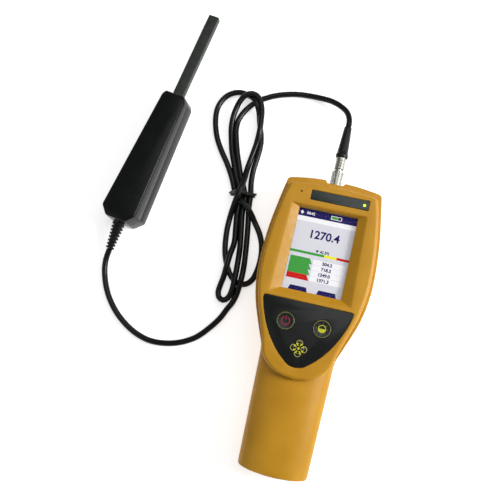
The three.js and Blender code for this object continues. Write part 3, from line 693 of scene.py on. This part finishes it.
def pod_outline():
    top = quadratic((0, POD_TOP), (18, POD_TOP), POD_CORNER, 6)
    side = catmull([POD_CORNER, *POD_SIDE], 4)
    return mirrored([*top, *side, *catmull(POD_CHIN, 5)[1:]])


def shield_outline():
    corner = quadratic((33.2, -41.2), (35.9, -41.2), (35.5, -43.8), 6)
    side = catmull(SHIELD_SIDE, 6)
    foot = quadratic((7, -89.8), (4, -91.6), (0, -91.6), 6)
    return mirrored([Vector((0, -41.2)), *corner, *side, *foot])


def petal_outline():
    """One petal of the direction pad, pointing along +Y and clipped to its own quarter."""
    points = []
    for step in range(40):
        angle = step / 40 * 2 * math.pi - math.pi / 2
        x = PETAL_R * math.cos(angle)
        y = PETAL_REACH + PETAL_R * math.sin(angle)
        limit = max(0, y - GAP)
        points.append(Vector((max(-limit, min(limit, x)), max(y, OK_R + GAP))))
    return points


def stacked(name, outline, profile, share=0.72):
    """A stepped loft whose sharp corners are eased."""
    corners = sharp_corners(outline)
    return loft(name, [at_height(ease_corners(inset(outline, d), corners, 2.6, share), z)
                       for d, z in profile])


def crown_section(half_width, top, skirt):
    steps = 40
    foot = PARTING_Z + GAP
    points = [(-half_width, foot - skirt), (half_width, foot - skirt)] if skirt else []
    for step in range(steps + 1):
        across = math.cos(math.pi * step / steps)
        rise = max(0, 1 - abs(across) ** CROWN_POWER) ** (1 / CROWN_POWER)
        points.append((half_width * across, foot + (top - foot) * rise))
    return points


def crown(name, half_width, top, skirt, y0, y1):
    rings = []
    stations = 16
    for y in (y0 + (y1 - y0) * k / stations for k in range(stations + 1)):
        drawn = 1 - HANDLE_DRAFT * (HANDLE_SIDE[0][1] - y)
        rings.append([(x * drawn, y, z) for x, z in crown_section(half_width, top, skirt)])
    return loft(name, rings)


def rim_cutter(name, outline, foot_z, face_z, radius):
    """A straight-sided cutter whose mouth flares, so that it leaves a rounded rim."""
    rings = [at_height(outline, foot_z)]
    for out, z in arc_profile(0, face_z, -radius, radius, 5):
        rings.append(at_height(inset(outline, -out), z))
    rings.append(at_height(inset(outline, -radius), face_z + 2))
    return loft(name, rings)


def funnel_ring(share, grown=0.0):
    """The funnel's four corners, from the display's opening (0) up to the face (1)."""
    x0, y0 = SCREEN_HALF
    top_x = x0 + (FUNNEL_TOP[0] - x0) * share + grown
    foot_x = x0 + (FUNNEL_FOOT[0] - x0) * share + grown
    top_y = y0 + (FUNNEL_TOP[1] - y0) * share + grown
    foot_y = -y0 + (FUNNEL_FOOT[1] + y0) * share - grown
    z = FUNNEL_Z + (FACE_Z - FUNNEL_Z) * share
    corners = [Vector((top_x, top_y)), Vector((-top_x, top_y)), Vector((-foot_x, foot_y)),
               Vector((foot_x, foot_y))]
    return at_height(ease_corners(corners, range(4), 0.7 + 0.9 * share), z)


def funnel_cutter():
    rings = [funnel_ring(0), funnel_ring(0.86)]
    for k, grown in ((0.93, 0.1), (0.98, 0.32), (1.0, 0.62)):
        rings.append(funnel_ring(k, grown))
    rings.append([(x, y, FACE_Z + 2) for x, y, _ in funnel_ring(1.0, 0.62)])
    return loft("funnel", rings)


def key_holes(z0, z1):
    x, y = NAV
    petals = [(x, y + PETAL_REACH), (x + PETAL_REACH, y), (x, y - PETAL_REACH),
              (x - PETAL_REACH, y)]
    return [*pins(KEYS.values(), KEY_R + GAP, 64, z0, z1),
            *pins(petals, PETAL_R + GAP, 32, z0, z1), *pins([NAV], 2.2, 16, z0, z1)]


def screw_posts(z0, z1):
    return pins(CASE_SCREWS, 3.3, 20, z0, z1)


def add_front_shell():
    low = LEDGE_Z + GAP
    profile = [(0.35, low), (0, low + 0.5)] + [
        (FACE_ROUND * (1 - math.cos(t)), FACE_Z - FACE_ROUND + FACE_ROUND * math.sin(t))
        for t in (math.pi / 2 * k / 8 for k in range(9))]
    shell = stacked("front_shell", pod_outline(), profile)
    handle = crown("crown", 30, HANDLE_TOP_Z, 0, -190, NECK_Y - GAP)
    rolled_end = [(0, 0), (0, 31.4), (0.2, 32.4), (0.6, 33.2), (1.2, 33.8), (2.0, 34.2), (2.0, 60)]
    meet(handle, stacked("plan", case_outline(), rolled_end))
    join(shell, handle)
    cut(shell, stacked("pod_hollow", pod_outline(), [(WALL, low - 1), (WALL, FACE_Z - 2.4)], 0.3))
    hollow = crown("hollow", 30 - WALL, HANDLE_TOP_Z - WALL, 2, -190, -60)
    cut(shell, meet(hollow, stacked("plan", case_outline(), [(WALL, 0), (WALL, 60)], 0.3)))
    join(shell, box("screen_frame", (-33.6, -39.6, FUNNEL_Z - 0.9), (33.6, 36.6, FACE_Z - 1.5)))
    for post in screw_posts(low, FACE_Z - 2):
        join(shell, meet(post, stacked("plan", pod_outline(), [(0.6, low), (0.6, FACE_Z)], 0.3)))
    x, y = LABEL_AT
    half_x, half_y = LABEL_HALF[0] + GAP, LABEL_HALF[1] + GAP
    label = rounded_rectangle(x - half_x, y - half_y, x + half_x, y + half_y, 0.9)
    opening = (-SCREEN_HALF[0], -SCREEN_HALF[1], 30), (*SCREEN_HALF, FUNNEL_Z + 0.02)
    bores = pins(CASE_SCREWS, SCREW_BORE, 16, low - 1, 33)
    cut(shell, merged("bores", bores), funnel_cutter(), box("opening", *opening),
        rim_cutter("label", label, FACE_Z - 1.1, FACE_Z, 0.3),
        rim_cutter("shield", shield_outline(), OVERLAY_Z[0] - GAP, FACE_Z, 0.35),
        *key_holes(30, FACE_Z),
        *pins([LED_AT], LED_R + GAP, 32, 30, FACE_Z),
        *pins([SOUND_AT], 0.75, 20, 30, FACE_Z + 1))
    finished(shell, YELLOW, "meter", ["front_shell"])


def door_slab(clearance):
    low = DOOR_HALF + clearance
    high = low + DOOR_SPREAD
    top = DOOR_T + clearance
    section = [(-low, -1), (low, -1), (low, 0), (high, top), (-high, top), (-low, 0)]
    y1 = DOOR_TOP_Y + clearance
    return loft("door_slab", [[(x, y, z) for x, z in section] for y in (y1 - 90, y1)])


def case_back(name):
    profile = [(5 * (1 - math.sin(t)), 9 - 9 * math.cos(t))
               for t in (math.pi / 2 * k / 8 for k in range(9))]
    return stacked(name, case_outline(), profile + [(0, 50)])


def above_rim():
    """Everything above the rim, which falls from the screen's sides towards the neck."""
    past = NECK_Y - 1
    section = [(80, RIM_Z), (80, 70), (past, 70), (past, LEDGE_Z), (RIM_FALL_Y, RIM_Z)]
    return loft("above_rim", [[(x, y, z) for y, z in section] for x in (-80, 80)])


def add_rear_shell():
    shell = case_back("rear_shell")
    cavity = stacked("cavity", case_outline(), [(WALL, FLOOR_Z), (WALL, LEDGE_Z + 0.02)], 0.3)
    meet(cavity, box("headroom", (-60, -200, 0), (60, 54.5, 60)))
    seat = stacked("seat", pod_outline(), [(-GAP, LEDGE_Z), (-GAP, 60)])
    cut(shell, above_rim(), box("neck", (-60, -200, PARTING_Z), (60, NECK_Y, 60)))
    soften(shell, 0.55, 3, lambda p: (p.y < NECK_Y + 0.5 and p.z > PARTING_Z - 0.2)
           or (p.z > LEDGE_Z - 0.5 and p.y > NECK_Y + 2), 50)
    cut(shell, seat, cavity)
    for post in screw_posts(FLOOR_Z - 1, LEDGE_Z - GAP):
        join(shell, post)
    bores = pins(CASE_SCREWS, SCREW_BORE, 16, -1, 60)
    sinks = pins(CASE_SCREWS, 3.1, 24, -1, 2.6)
    (mouth, mouth_y), (foot, foot_y) = NOTCH
    notch = [Vector((-mouth, mouth_y)), Vector((-foot, foot_y)), Vector((foot, foot_y)),
             Vector((mouth, mouth_y))]
    socket_bore = lay_along_y(turned("socket_bore", [(4.9, 50), (4.9, 70)], 40), 0, SOCKET_Z)
    cut(shell, merged("bores", bores), merged("sinks", sinks), door_slab(GAP),
        box("bay", (-22.2, BAY_Y[0], 0), (22.2, BAY_Y[1], FLOOR_Z + 0.02)),
        prism("notch", notch, SOCKET_Z - 9, 60), socket_bore)
    finished(shell, YELLOW, "meter", ["rear_shell"])


add_front_shell()
add_rear_shell()


# ---- the display ----
SCREEN_LAYER = 33.02           # just above the display module
LAYER_T = 0.04


def on_screen(u, v):
    """A point of the display: u runs across from the left, v down from the top."""
    return Vector((SCREEN_HALF[0] * (2 * u - 1), SCREEN_HALF[1] * (1 - 2 * v)))


def add_patches(name, material, layer, polygons, extra=()):
    z = SCREEN_LAYER + layer * LAYER_STEP
    parts = [prism(name, [on_screen(u, v) for u, v in polygon], z, z + LAYER_T)
             for polygon in polygons]
    finished(merged(name, parts + list(extra)), material, "meter")


def oblong(u0, v0, u1, v1):
    return [(u0, v1), (u1, v1), (u1, v0), (u0, v0)]


def tab(u0, v0, u1, v1):
    """A tab whose right end slants."""
    return [(u0, v1), (u1, v1), (u1 - 0.05, v0), (u0, v0)]


def numerals(text, u, v, height_mm, layer, align="LEFT", bolder=0.035):
    """Digits as a thin solid, standing on the point (u, v)."""
    curve = bpy.data.curves.new("numerals", "FONT")
    curve.body = text
    curve.size = height_mm / 0.7 * MM
    curve.align_x = align
    curve.offset = height_mm * bolder * MM
    curve.extrude = LAYER_T / 2 * MM
    writing = bpy.data.objects.new("numerals", curve)
    bpy.context.collection.objects.link(writing)
    bpy.context.view_layer.update()
    graph = bpy.context.evaluated_depsgraph_get()
    mesh = bpy.data.meshes.new_from_object(writing.evaluated_get(graph))
    bpy.data.objects.remove(writing)
    at = on_screen(u, v)
    z = SCREEN_LAYER + layer * LAYER_STEP + LAYER_T / 2
    mesh.transform(Matrix.Translation(to_metres((at.x, at.y, z))))
    return new_object("numerals", mesh)


ROW_H = 0.0675
ROWS = [0.588 + ROW_H * i for i in range(4)]
READINGS = ["504.2", "718.3", "1249.0", "1371.3"]
LAYER_STEP = 0.05


def add_screen():
    add_patches("screen_face", SCREEN_PALE, 0, [oblong(0, 0, 1, 1)])
    trapezoids = [[(0.13, 0.94), (0.10, 1), (0.43, 1), (0.40, 0.94)],
                  [(0.61, 0.94), (0.58, 1), (0.92, 1), (0.89, 0.94)]]
    writing = [numerals("1270.4", 0.775, 0.338, 6.4, 1, "RIGHT")]
    writing += [numerals(text, 0.745, row + 0.052, 2.5, 2, "RIGHT", 0.06)
                for text, row in zip(READINGS, ROWS)]
    add_patches("screen_bars", SCREEN_INDIGO, 1, [oblong(0, 0, 1, 0.09), *trapezoids], writing)
    add_patches("screen_note", SCREEN_WHITE, 1, [oblong(0, 0.092, 1, 0.15)] +
                [oblong(0.42, row + 0.003, 0.96, row + ROW_H - 0.003) for row in ROWS])
    add_patches("screen_marks", SCREEN_WHITE, 2,
                [[(0.03, 0.045), (0.06, 0.07), (0.09, 0.045), (0.06, 0.02)],
                 oblong(0.555, 0.022, 0.74, 0.068)],
                [numerals("08:42", 0.14, 0.06, 2.1, 2)])
    add_patches("screen_battery", SCREEN_GREEN, 3, [oblong(0.565, 0.029, 0.67, 0.061)])
    add_patches("screen_dark", SCREEN_BLACK, 3,
                [oblong(0.675, 0.029, 0.73, 0.061),
                 [(0.425, 0.474), (0.45, 0.506), (0.475, 0.474)]],
                [numerals("41.5%", 0.50, 0.502, 2.1, 1, "LEFT", 0.06)])
    add_patches("screen_scale_green", SCREEN_GREEN, 1,
                [oblong(0.0, 0.512, 0.58, 0.542)] +
                [tab(0.03, row, 0.41, row + ROW_H) for row in ROWS[:3]])
    add_patches("screen_scale_yellow", SCREEN_YELLOW, 1, [oblong(0.58, 0.512, 0.79, 0.542)])
    add_patches("screen_scale_red", SCREEN_RED, 1,
                [oblong(0.79, 0.512, 1, 0.542), tab(0.03, ROWS[3], 0.41, ROWS[3] + ROW_H)])


add_screen()


# ---- the label, its light and the keypad ----
INK_T = 0.05
KEY_FOOT_Z = 35.2
DOT_R = 0.95


def add_label():
    x, y = LABEL_AT
    outline = rounded_rectangle(x - LABEL_HALF[0], y - LABEL_HALF[1], x + LABEL_HALF[0],
                                y + LABEL_HALF[1], 0.7)
    profile = [(0, 39.2), (0, 39.6), (0.08, 39.75), (0.25, 39.8)]
    plate = stepped("label_plate", outline, profile)
    cut(plate, *pins([LED_AT], LED_LENS_R + 0.1, 40, 30, 50))
    finished(plate, LABEL, "meter", ["label_plate"])
    dome = [(0.02, 23.3), (LED_R, 23.3), (LED_R, 39.0), (LED_LENS_R, 39.0)] + [
        (LED_LENS_R * math.cos(t), 39.7 + 0.58 * math.sin(t))
        for t in (math.pi / 2 * k / 6 for k in range(6))] + [(0.02, 40.28)]
    led = stand(turned("status_led", dome, 32), *LED_AT)
    finished(led, LIME, "meter", ["status_led"])


def band(name, outer, inner, z0, z1):
    return loft(name, [at_height(outer, z0), at_height(outer, z1), at_height(inner, z1),
                       at_height(inner, z0)], closed_path=True)


def add_overlay():
    outline = inset(shield_outline(), GAP)
    low, high = OVERLAY_Z
    profile = [(0, low), (0, high - 0.25), (0.08, high - 0.08), (0.28, high)]
    film = stepped("keypad_overlay", outline, profile)
    cut(film, *key_holes(30, 50))
    finished(film, FILM, "meter", ["keypad_overlay"])


def ink(name, obj, material, body):
    obj.name = name
    finished(obj, material, body)


def add_round_key(name):
    x, y = KEYS[name]
    body = f"{name}_key_body"
    flange_r = KEY_R + 1.1
    profile = [(2.2, KEY_FOOT_Z), (2.2, 36.2), (flange_r, 36.2), (flange_r, 37.3), (KEY_R, 37.3)]
    profile += arc_profile(KEY_R, FACE_Z, 0.5, 0.4, 4) + [(5.6, 39.97), (4.6, 39.86), (0.02, 39.8)]
    key = stand(turned(f"{name}_key", profile, 64), x, y)
    finished(key, KEY, body, [f"{name}_key"])
    ring = band("ring", circle(x, y, 6.7, 64), circle(x, y, 6.25, 64), 39.9, FACE_Z + INK_T)
    ink(f"{name}_ring", ring, OLIVE, body)


def spoke(x, y, angle, near, far, width, z0, z1):
    """A short radial bar, as printed round a sun."""
    along = Vector((math.cos(angle), math.sin(angle)))
    side = Vector((-along.y, along.x)) * width / 2
    at = Vector((x, y))
    return prism("spoke", [at + along * near - side, at + along * far - side,
                           at + along * far + side, at + along * near + side], z0, z1)


def arc(x, y, radius, start, end, steps):
    """Points along an arc; the angles are in degrees from +X."""
    return [Vector((x + radius * math.cos(math.radians(start + (end - start) * k / steps)),
                    y + radius * math.sin(math.radians(start + (end - start) * k / steps))))
            for k in range(steps + 1)]


def arc_band(x, y, outer, inner, start, end, z0, z1):
    outline = arc(x, y, outer, start, end, 32) + arc(x, y, inner, end, start, 32)
    return prism("arc", outline, z0, z1)


def add_icons():
    z0, z1 = 39.75, 39.8 + INK_T + 0.02
    x, y = KEYS["power"]
    ink("power_mark", arc_band(x, y, 3.5, 2.6, 122, 418, z0, z1), CRIMSON, "power_key_body")
    stroke = spoke(x, y, math.pi / 2, 0.9, 3.9, 0.8, z0, z1 + 0.03)
    ink("power_stroke", stroke, CRIMSON, "power_key_body")
    x, y = KEYS["backlight"]
    half = prism("half", arc(x, y, 3.1, 180, 360, 20), z0, z1)
    upper = arc_band(x, y, 3.1, 2.5, 0, 180, z0, z1)
    ink("sun_mark", merged("sun_mark", [half, upper]), SUN_YELLOW, "backlight_key_body")
    rays = [spoke(x, y, math.pi / 4 * k, 3.9, 4.9, 0.4, z0, z1) for k in range(8)]
    ink("sun_rays", merged("sun_rays", rays), OLIVE, "backlight_key_body")


def add_petal(name, quarter):
    """One arrow key of the direction pad with its printed edge, patch and dot."""
    outline = petal_outline()
    low, high = FACE_Z - 0.1, FACE_Z + INK_T
    profile = [(0, KEY_FOOT_Z), (0, 39.75), (0.06, 39.9), (0.2, 39.98)]
    key = stepped(f"{name}_key", outline, profile)
    finished(turn_and_place(key, 90 * quarter, NAV), KEY, f"{name}_key_body",
             [f"{name}_key"])
    patch = [Vector((p.x, min(p.y, 3.9))) for p in inset(outline, 0.3)]
    patch = [p for i, p in enumerate(patch) if (p - patch[i - 1]).length > 0.02]
    prints = {
        "edge": (band("edge", inset(outline, 0.25), inset(outline, 0.8), low, high), PALE_OLIVE),
        "print": (prism("inner", patch, low, high + 0.02), SUN_YELLOW),
        "dot": (prism("dot", circle(0, 3, DOT_R, 24), low + 0.05, high + 0.04), KEY),
    }
    for kind, (obj, material) in prints.items():
        turn_and_place(obj, 90 * quarter, NAV)
        ink(f"{name}_{kind}", obj, material, f"{name}_key_body")


def add_direction_pad():
    for quarter, name in enumerate(("nav_up", "nav_left", "nav_down", "nav_right")):
        add_petal(name, quarter)
    profile = [(OK_R, KEY_FOOT_Z)] + arc_profile(OK_R, FACE_Z, 0.25, 0.2, 3) + [(0.02, FACE_Z)]
    key = stand(turned("nav_ok_key", profile, 32), *NAV)
    finished(key, KEY, "nav_ok_key_body", ["nav_ok_key"])
    dot = prism("dot", circle(*NAV, DOT_R, 24), FACE_Z - 0.05, FACE_Z + INK_T)
    ink("nav_ok_dot", dot, SUN_YELLOW, "nav_ok_key_body")


add_label()
add_overlay()
for key_name in KEYS:
    add_round_key(key_name)
add_icons()
add_direction_pad()


# ---- socket, plug and boot ----
SLEEVE_Y = (60.2, 73.4)
SLEEVE_R = 5
SLEEVE_BORE = 4.1
FLUTES = 18


def lathe(name, profile, material):
    """A turned metal piece lying along the plug's axis; its CAD node has the same name."""
    piece = lay_along_y(turned(name, profile, 56), 0, SOCKET_Z)
    finished(piece, material, "meter", [name])


def add_sleeve():
    """The knurled ring that is drawn back to free the plug."""
    low, high = SLEEVE_Y
    profile = [(SLEEVE_BORE, low), (SLEEVE_R - 0.35, low), (SLEEVE_R, low + 0.35),
               (SLEEVE_R, low + 1.3), (SLEEVE_R, low + 1.5), (SLEEVE_R, high - 1.5),
               (SLEEVE_R, high - 1.3), (SLEEVE_R, high - 0.35), (SLEEVE_R - 0.35, high),
               (SLEEVE_BORE, high)]
    sides = FLUTES * 6
    sleeve = turned("plug_sleeve", profile, sides, closed=True)
    for vertex in sleeve.data.vertices:
        height = vertex.co.z / MM
        side = vertex.index % sides
        outside = vertex.co.xy.length > 4.5 * MM
        if low + 1.4 < height < high - 1.4 and side % 6 in (0, 1) and outside:
            vertex.co.xy *= (SLEEVE_R - 0.4) / SLEEVE_R
    lay_along_y(sleeve, 0, SOCKET_Z)
    finished(sleeve, BRUSHED, "sleeve", ["plug_sleeve"], 25)


def add_plug():
    lathe("probe_socket", [(0.02, 44), (4.6, 44), (4.6, 58.5), (5.8, 58.5), (6, 58.7), (6, 59.6),
                           (5.75, 59.9), (3.9, 59.9), (3.9, 50.4), (0.02, 50.4)], NICKEL)
    lathe("plug_core", [(0.02, 50.8), (3.2, 50.8), (3.5, 51.1), (3.5, 75.3), (0.02, 75.3)], NICKEL)
    grip = []
    for y in (78.2, 80.6, 83):
        grip += [(4.1, y - 0.5), (3.85, y - 0.2), (3.85, y + 0.2), (4.1, y + 0.5)]
    lathe("plug_collar", [(0.02, 75.6), (3.8, 75.6), (4.1, 75.9), *grip, (4.1, 85.7), (3.8, 86),
                          (0.02, 86)], BRUSHED)
    boot = turned("cable_boot", [
        (0.02, 86.3), (4.75, 86.3), (5, 86.5), (5.3, 87.6), (5.28, 88.4), (5.0, 89.2), (4.7, 89.8),
        (4.5, 92), (4.1, 98.5), (3.65, 106), (3.25, 112.6), (3.05, 113.6), (2.6, 114),
        (0.02, 114)], 48)
    lay_along_y(boot, 0, SOCKET_Z)
    notch = box("notch", (2.2, 85.3, SOCKET_Z - 1.2), (8, 89.3, SOCKET_Z + 1.2))
    slit = box("slit", (-0.3, 93, SOCKET_Z + 3.1), (0.3, 108, SOCKET_Z + 8))
    cut(boot, notch, slit)
    finished(boot, BOOT_BLACK, "meter", ["cable_boot"])
    add_sleeve()


# ---- the tie round the hank ----
TIE_AT = (-77.2, 41.4)
TIE_TURN = 6                   # degrees about +Z
TIE_HALF_WIDTH = 1.5
TIE_T = 0.7


def tie_line():
    """The tie's way round the strands, in section: (across, height), sides alternating."""
    return catmull([
        (-9.1, 3.3), (-8.8, 6.0), (-6.9, 8.2), (-4.4, 11.2), (-2.0, 13.3), (0.6, 13.0),
        (3.3, 9.4), (5.7, 7.2), (8.8, 6.5), (11.1, 5.3), (11.6, 2.7), (10.5, 0.75),
        (6.5, 0.75), (0, 0.75), (-6, 0.75), (-8.6, 1.2), (-9.1, 3.3)], 4)[:-1]


def add_tie():
    line = tie_line()
    section = rounded_rectangle(-TIE_HALF_WIDTH, -TIE_T, TIE_HALF_WIDTH, TIE_T, 0.55, 3)
    rings = []
    for i, p in enumerate(line):
        along = (line[(i + 1) % len(line)] - line[i - 1]).normalized()
        out = Vector((-along.y, along.x))
        ring = []
        for s in section:
            ripple = 0.12 * math.sin(i * 0.9) * s.x / TIE_HALF_WIDTH
            off = p + out * (s.y + ripple)
            ring.append((off.x, s.x, max(0.05, off.y)))
        rings.append(ring)
    loop = loft("tie", rings, closed_path=True)
    tails = [[(-9.0, 0.4, 3.2), (-9.8, 0.9, 2.8), (-10.4, 0.3, 2.4)],
             [(11.3, 0.2, 3.4), (12.1, 0.8, 3.0), (12.6, 1.6, 2.5)]]
    ends = [loft("tail", tube_rings(evenly(centripetal(tail, 6), 0.4), 0.9, 12)) for tail in tails]
    tie = merged("cord_tie", [loop, *ends])
    finished(turn_and_place(tie, TIE_TURN, TIE_AT), TIE_BLACK, "meter", ["cord_tie"])


# ---- screws ----
def screw(name, x, y, head_r, head_z, shank_r, top):
    """A countersunk-pocket screw with its cross recess facing down."""
    low, high = head_z
    profile = [(0.02, low), (head_r - 0.5, low), (head_r - 0.1, low + 0.25), (head_r, low + 0.6),
               (head_r, high), (shank_r, high), (shank_r, top - 1), (0.02, top)]
    piece = stand(turned(name, profile, 28), x, y)
    arm, half = head_r * 0.62, 0.38
    cross = [Vector((x + a, y + b)) for a, b in (
        (half, half), (half, arm), (-half, arm), (-half, half), (-arm, half), (-arm, -half),
        (-half, -half), (-half, -arm), (half, -arm), (half, -half), (arm, -half), (arm, half))]
    cut(piece, prism("cross", cross, low - 1, low + 0.9))
    return piece


# ---- the probe ----
PROBE_AT = (-171.2, -0.1)
PROBE_TURN = -9.66             # degrees about +Z
PROBE_L = 115
PROBE_BASE_HALF = (18, 14)
PROBE_FACE_HALF = (15.2, 10.8)
PROBE_CORNER = (2.6, 4)
PROBE_T = (27, 21)
PROBE_SPLIT_Z = 12.5
PROBE_WALL = 2.2
PROBE_ROUND = 1.5
PROBE_SCREWS = ((0, 2.5), (0, 93))
ROD_HALF = (4.8, 3.3)
ROD_WALL = 1
ROD_Y = (97, 197.5)
ROD_Z = 10.5
RELIEF_Y = (-6.8, -30)
RELIEF_Z = (12.2, 6.3)
RELIEF_R = (5.4, 3.6)
RIBS = 8


def lerp(pair, share):
    return pair[0] + (pair[1] - pair[0]) * share


def on_probe(obj):
    return turn_and_place(obj, PROBE_TURN, PROBE_AT)


def probe_body(name, wall):
    """The tapering eight-sided handle, drawn in by a wall when it is the hollow."""
    wide, narrow = PROBE_BASE_HALF
    cut_x, cut_y = PROBE_CORNER
    plan = [Vector(p) for p in (
        (-10.5, -6.4), (10.5, -6.4), (wide, 1), (narrow, PROBE_L - cut_y),
        (narrow - cut_x, PROBE_L), (cut_x - narrow, PROBE_L), (-narrow, PROBE_L - cut_y),
        (-wide, 1))]
    base = inset(plan, wall)
    top = []
    share = [face / half for face, half in zip(PROBE_FACE_HALF, PROBE_BASE_HALF)]
    for p in base:
        along = min(1, max(0, p.y / PROBE_L))
        top.append((p.x * lerp(share, along), p.y, lerp(PROBE_T, along) - wall))
    body = loft(name, [at_height(base, wall), top])
    if not wall:
        soften(body, PROBE_ROUND, 4, lambda p: True, 15)
    return body


def probe_half(name, z0, z1):
    body = probe_body(name, 0)
    cut(body, probe_body("hollow", PROBE_WALL))
    for post in pins(PROBE_SCREWS, 3, 20, 0.5, 30):
        join(body, meet(post, probe_body("clip", 0)))
    meet(body, box("slice", (-30, -20, z0), (30, PROBE_L + 20, z1)))
    hole_x, hole_z = (half + GAP for half in ROD_HALF)
    cord_bore = lay_along_y(turned("cord_bore", [(2.5, -10), (2.5, -2)], 24), 0, RELIEF_Z[0])
    cut(body,
        merged("bores", pins(PROBE_SCREWS, SCREW_BORE, 16, -1, 18)),
        merged("sinks", pins(PROBE_SCREWS, 2.9, 24, -1, 2.4)),
        box("rod_hole", (-hole_x, PROBE_L - 10, ROD_Z - hole_z),
            (hole_x, PROBE_L + 10, ROD_Z + hole_z)),
        cord_bore)
    parting = z0 if z0 > 0 else z1
    soften(body, 0.35, 2, lambda p: abs(p.z - parting) < 0.05 and outer_probe_edge(p), 50)
    finished(on_probe(body), PROBE_BLACK, "probe", [name])


def outer_probe_edge(p):
    """True on the handle's outer surface at the parting line, away from its end holes."""
    half = lerp(PROBE_BASE_HALF, min(1, max(0, p.y / PROBE_L)))
    return abs(p.x) > half - 3.2 and 2 < p.y < PROBE_L - 9


def add_rod():
    profile = [(0.55, ROD_Y[0]), (0, ROD_Y[0] + 0.5), (0, ROD_Y[1] - 0.6), (0.18, ROD_Y[1] - 0.18),
               (0.6, ROD_Y[1])]
    x, z = ROD_HALF
    section = rounded_rectangle(-x, -z, x, z, 0.7, 4)
    rings = [[(p.x, y, p.y + ROD_Z) for p in inset(section, d)] for d, y in profile]
    rod = loft("probe_rod", rings)
    x, z = x - ROD_WALL, z - ROD_WALL
    cut(rod, box("bore", (-x, ROD_Y[0] - 1, ROD_Z - z), (x, ROD_Y[1] - 1.5, ROD_Z + z)))
    finished(on_probe(rod), ROD_GREY, "probe", ["probe_rod"])


def add_relief():
    """The ribbed sleeve that the cord leaves by, thinner and lower towards the cord."""
    near, far = RELIEF_Y
    pitch = (near - far) / RIBS
    profile = [(0.02, far)]
    for i in range(RIBS):
        radius = RELIEF_R[1] + (RELIEF_R[0] - RELIEF_R[1]) * i / (RIBS - 1)
        y = far + i * pitch
        profile += [(radius - 0.25, y), (radius, y + 0.25), (radius, y + 0.5 * pitch),
                    (radius - 0.25, y + 0.62 * pitch)]
        if i < RIBS - 1:
            profile += [(radius - 1.15, y + 0.66 * pitch), (radius - 1.15, y + 0.95 * pitch)]
    profile += [(RELIEF_R[0] - 0.25, near), (0.02, near)]
    relief = lay_along_y(turned("probe_strain_relief", profile, 40), 0, 0)
    for vertex in relief.data.vertices:
        along = (near - vertex.co.y / MM) / (near - far)
        vertex.co.z += lerp(RELIEF_Z, along) * MM
    finished(on_probe(relief), BOOT_BLACK, "probe", ["probe_strain_relief"])


add_plug()
add_tie()
probe_half("probe_shell_rear", -1, PROBE_SPLIT_Z)
probe_half("probe_shell_front", PROBE_SPLIT_Z + GAP, 40)
add_rod()
add_relief()
for number, place in enumerate(CASE_SCREWS, 1):
    name = f"case_screw_{number}"
    finished(screw(name, *place, 2.8, (0.7, 2.3), SCREW_SHANK_R, 30),
             SCREW_STEEL, "meter", [name])
for number, place in enumerate(PROBE_SCREWS, 1):
    name = f"probe_screw_{number}"
    finished(on_probe(screw(name, *place, 2.6, (0.5, 2.1), SCREW_SHANK_R, 17)),
             SCREW_STEEL, "probe", [name])


# ---- CAD nodes that keep their shape ----
KEPT = (
    (YELLOW, "battery_door"), (FOAM, "lcd_gasket"), (WINDOW, "lcd_window"), (PANEL, "lcd_module"),
    (BOARD, "keypad_board main_board probe_board sensor_x sensor_y sensor_z"),
    (INNER_BLACK, "buzzer battery_tray"),
    (CELL_WRAP, "battery_cell_1 battery_cell_2 battery_cell_3"),
    (NICKEL, "contact_spring_plate contact_flat_plate socket_nut"),
)
for material, node_names in KEPT:
    for node_name in node_names.split():
        for material_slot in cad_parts[node_name].material_slots:
            material_slot.material = material


# ---- floor and light ----
def add_floor():
    half = 15
    floor = bpy.data.meshes.new("floor")
    corners = [(-half, -half, 0), (half, -half, 0), (half, half, 0), (-half, half, 0)]
    floor.from_pydata(corners, [], [(0, 1, 2, 3)])
    obj = new_object("floor", floor)
    obj.location.z = -0.0001
    surface = Surface("floor_white", roughness=0.9, specular=0.1)
    surface.colour((0.3, "#FAFAFA"), (0.7, "#FFFFFF"), size_mm=200)
    surface.set(Emission_Color=(1, 1, 1, 1), Emission_Strength=0.6)
    floor.materials.append(surface.material)


def add_light(name, place, aim, size, power):
    data = bpy.data.lights.new(name, "AREA")
    data.shape = "DISK"
    data.size = size
    data.energy = power
    light = bpy.data.objects.new(name, data)
    bpy.context.collection.objects.link(light)
    light.location = place
    light.rotation_euler = (Vector(aim) - Vector(place)).to_track_quat("-Z", "Y").to_euler()


add_floor()
MIDDLE = (-0.05, 0.0, 0.01)
add_light("key_right", (0.85, 0.15, 0.6), MIDDLE, 0.5, 10)
add_light("fill_left", (-0.8, -0.35, 0.9), MIDDLE, 0.9, 0.8)
add_light("soft_top", (0.2, 0.5, 1.2), MIDDLE, 1.0, 3.4)
bpy.context.scene.view_settings.view_transform = "Standard"
world = bpy.data.worlds.new("studio")
bpy.context.scene.world = world
world.use_nodes = True
world.node_tree.nodes["Background"].inputs["Color"].default_value = (1, 1, 1, 1)
world.node_tree.nodes["Background"].inputs["Strength"].default_value = 0.24

bpy.context.view_layer.update()
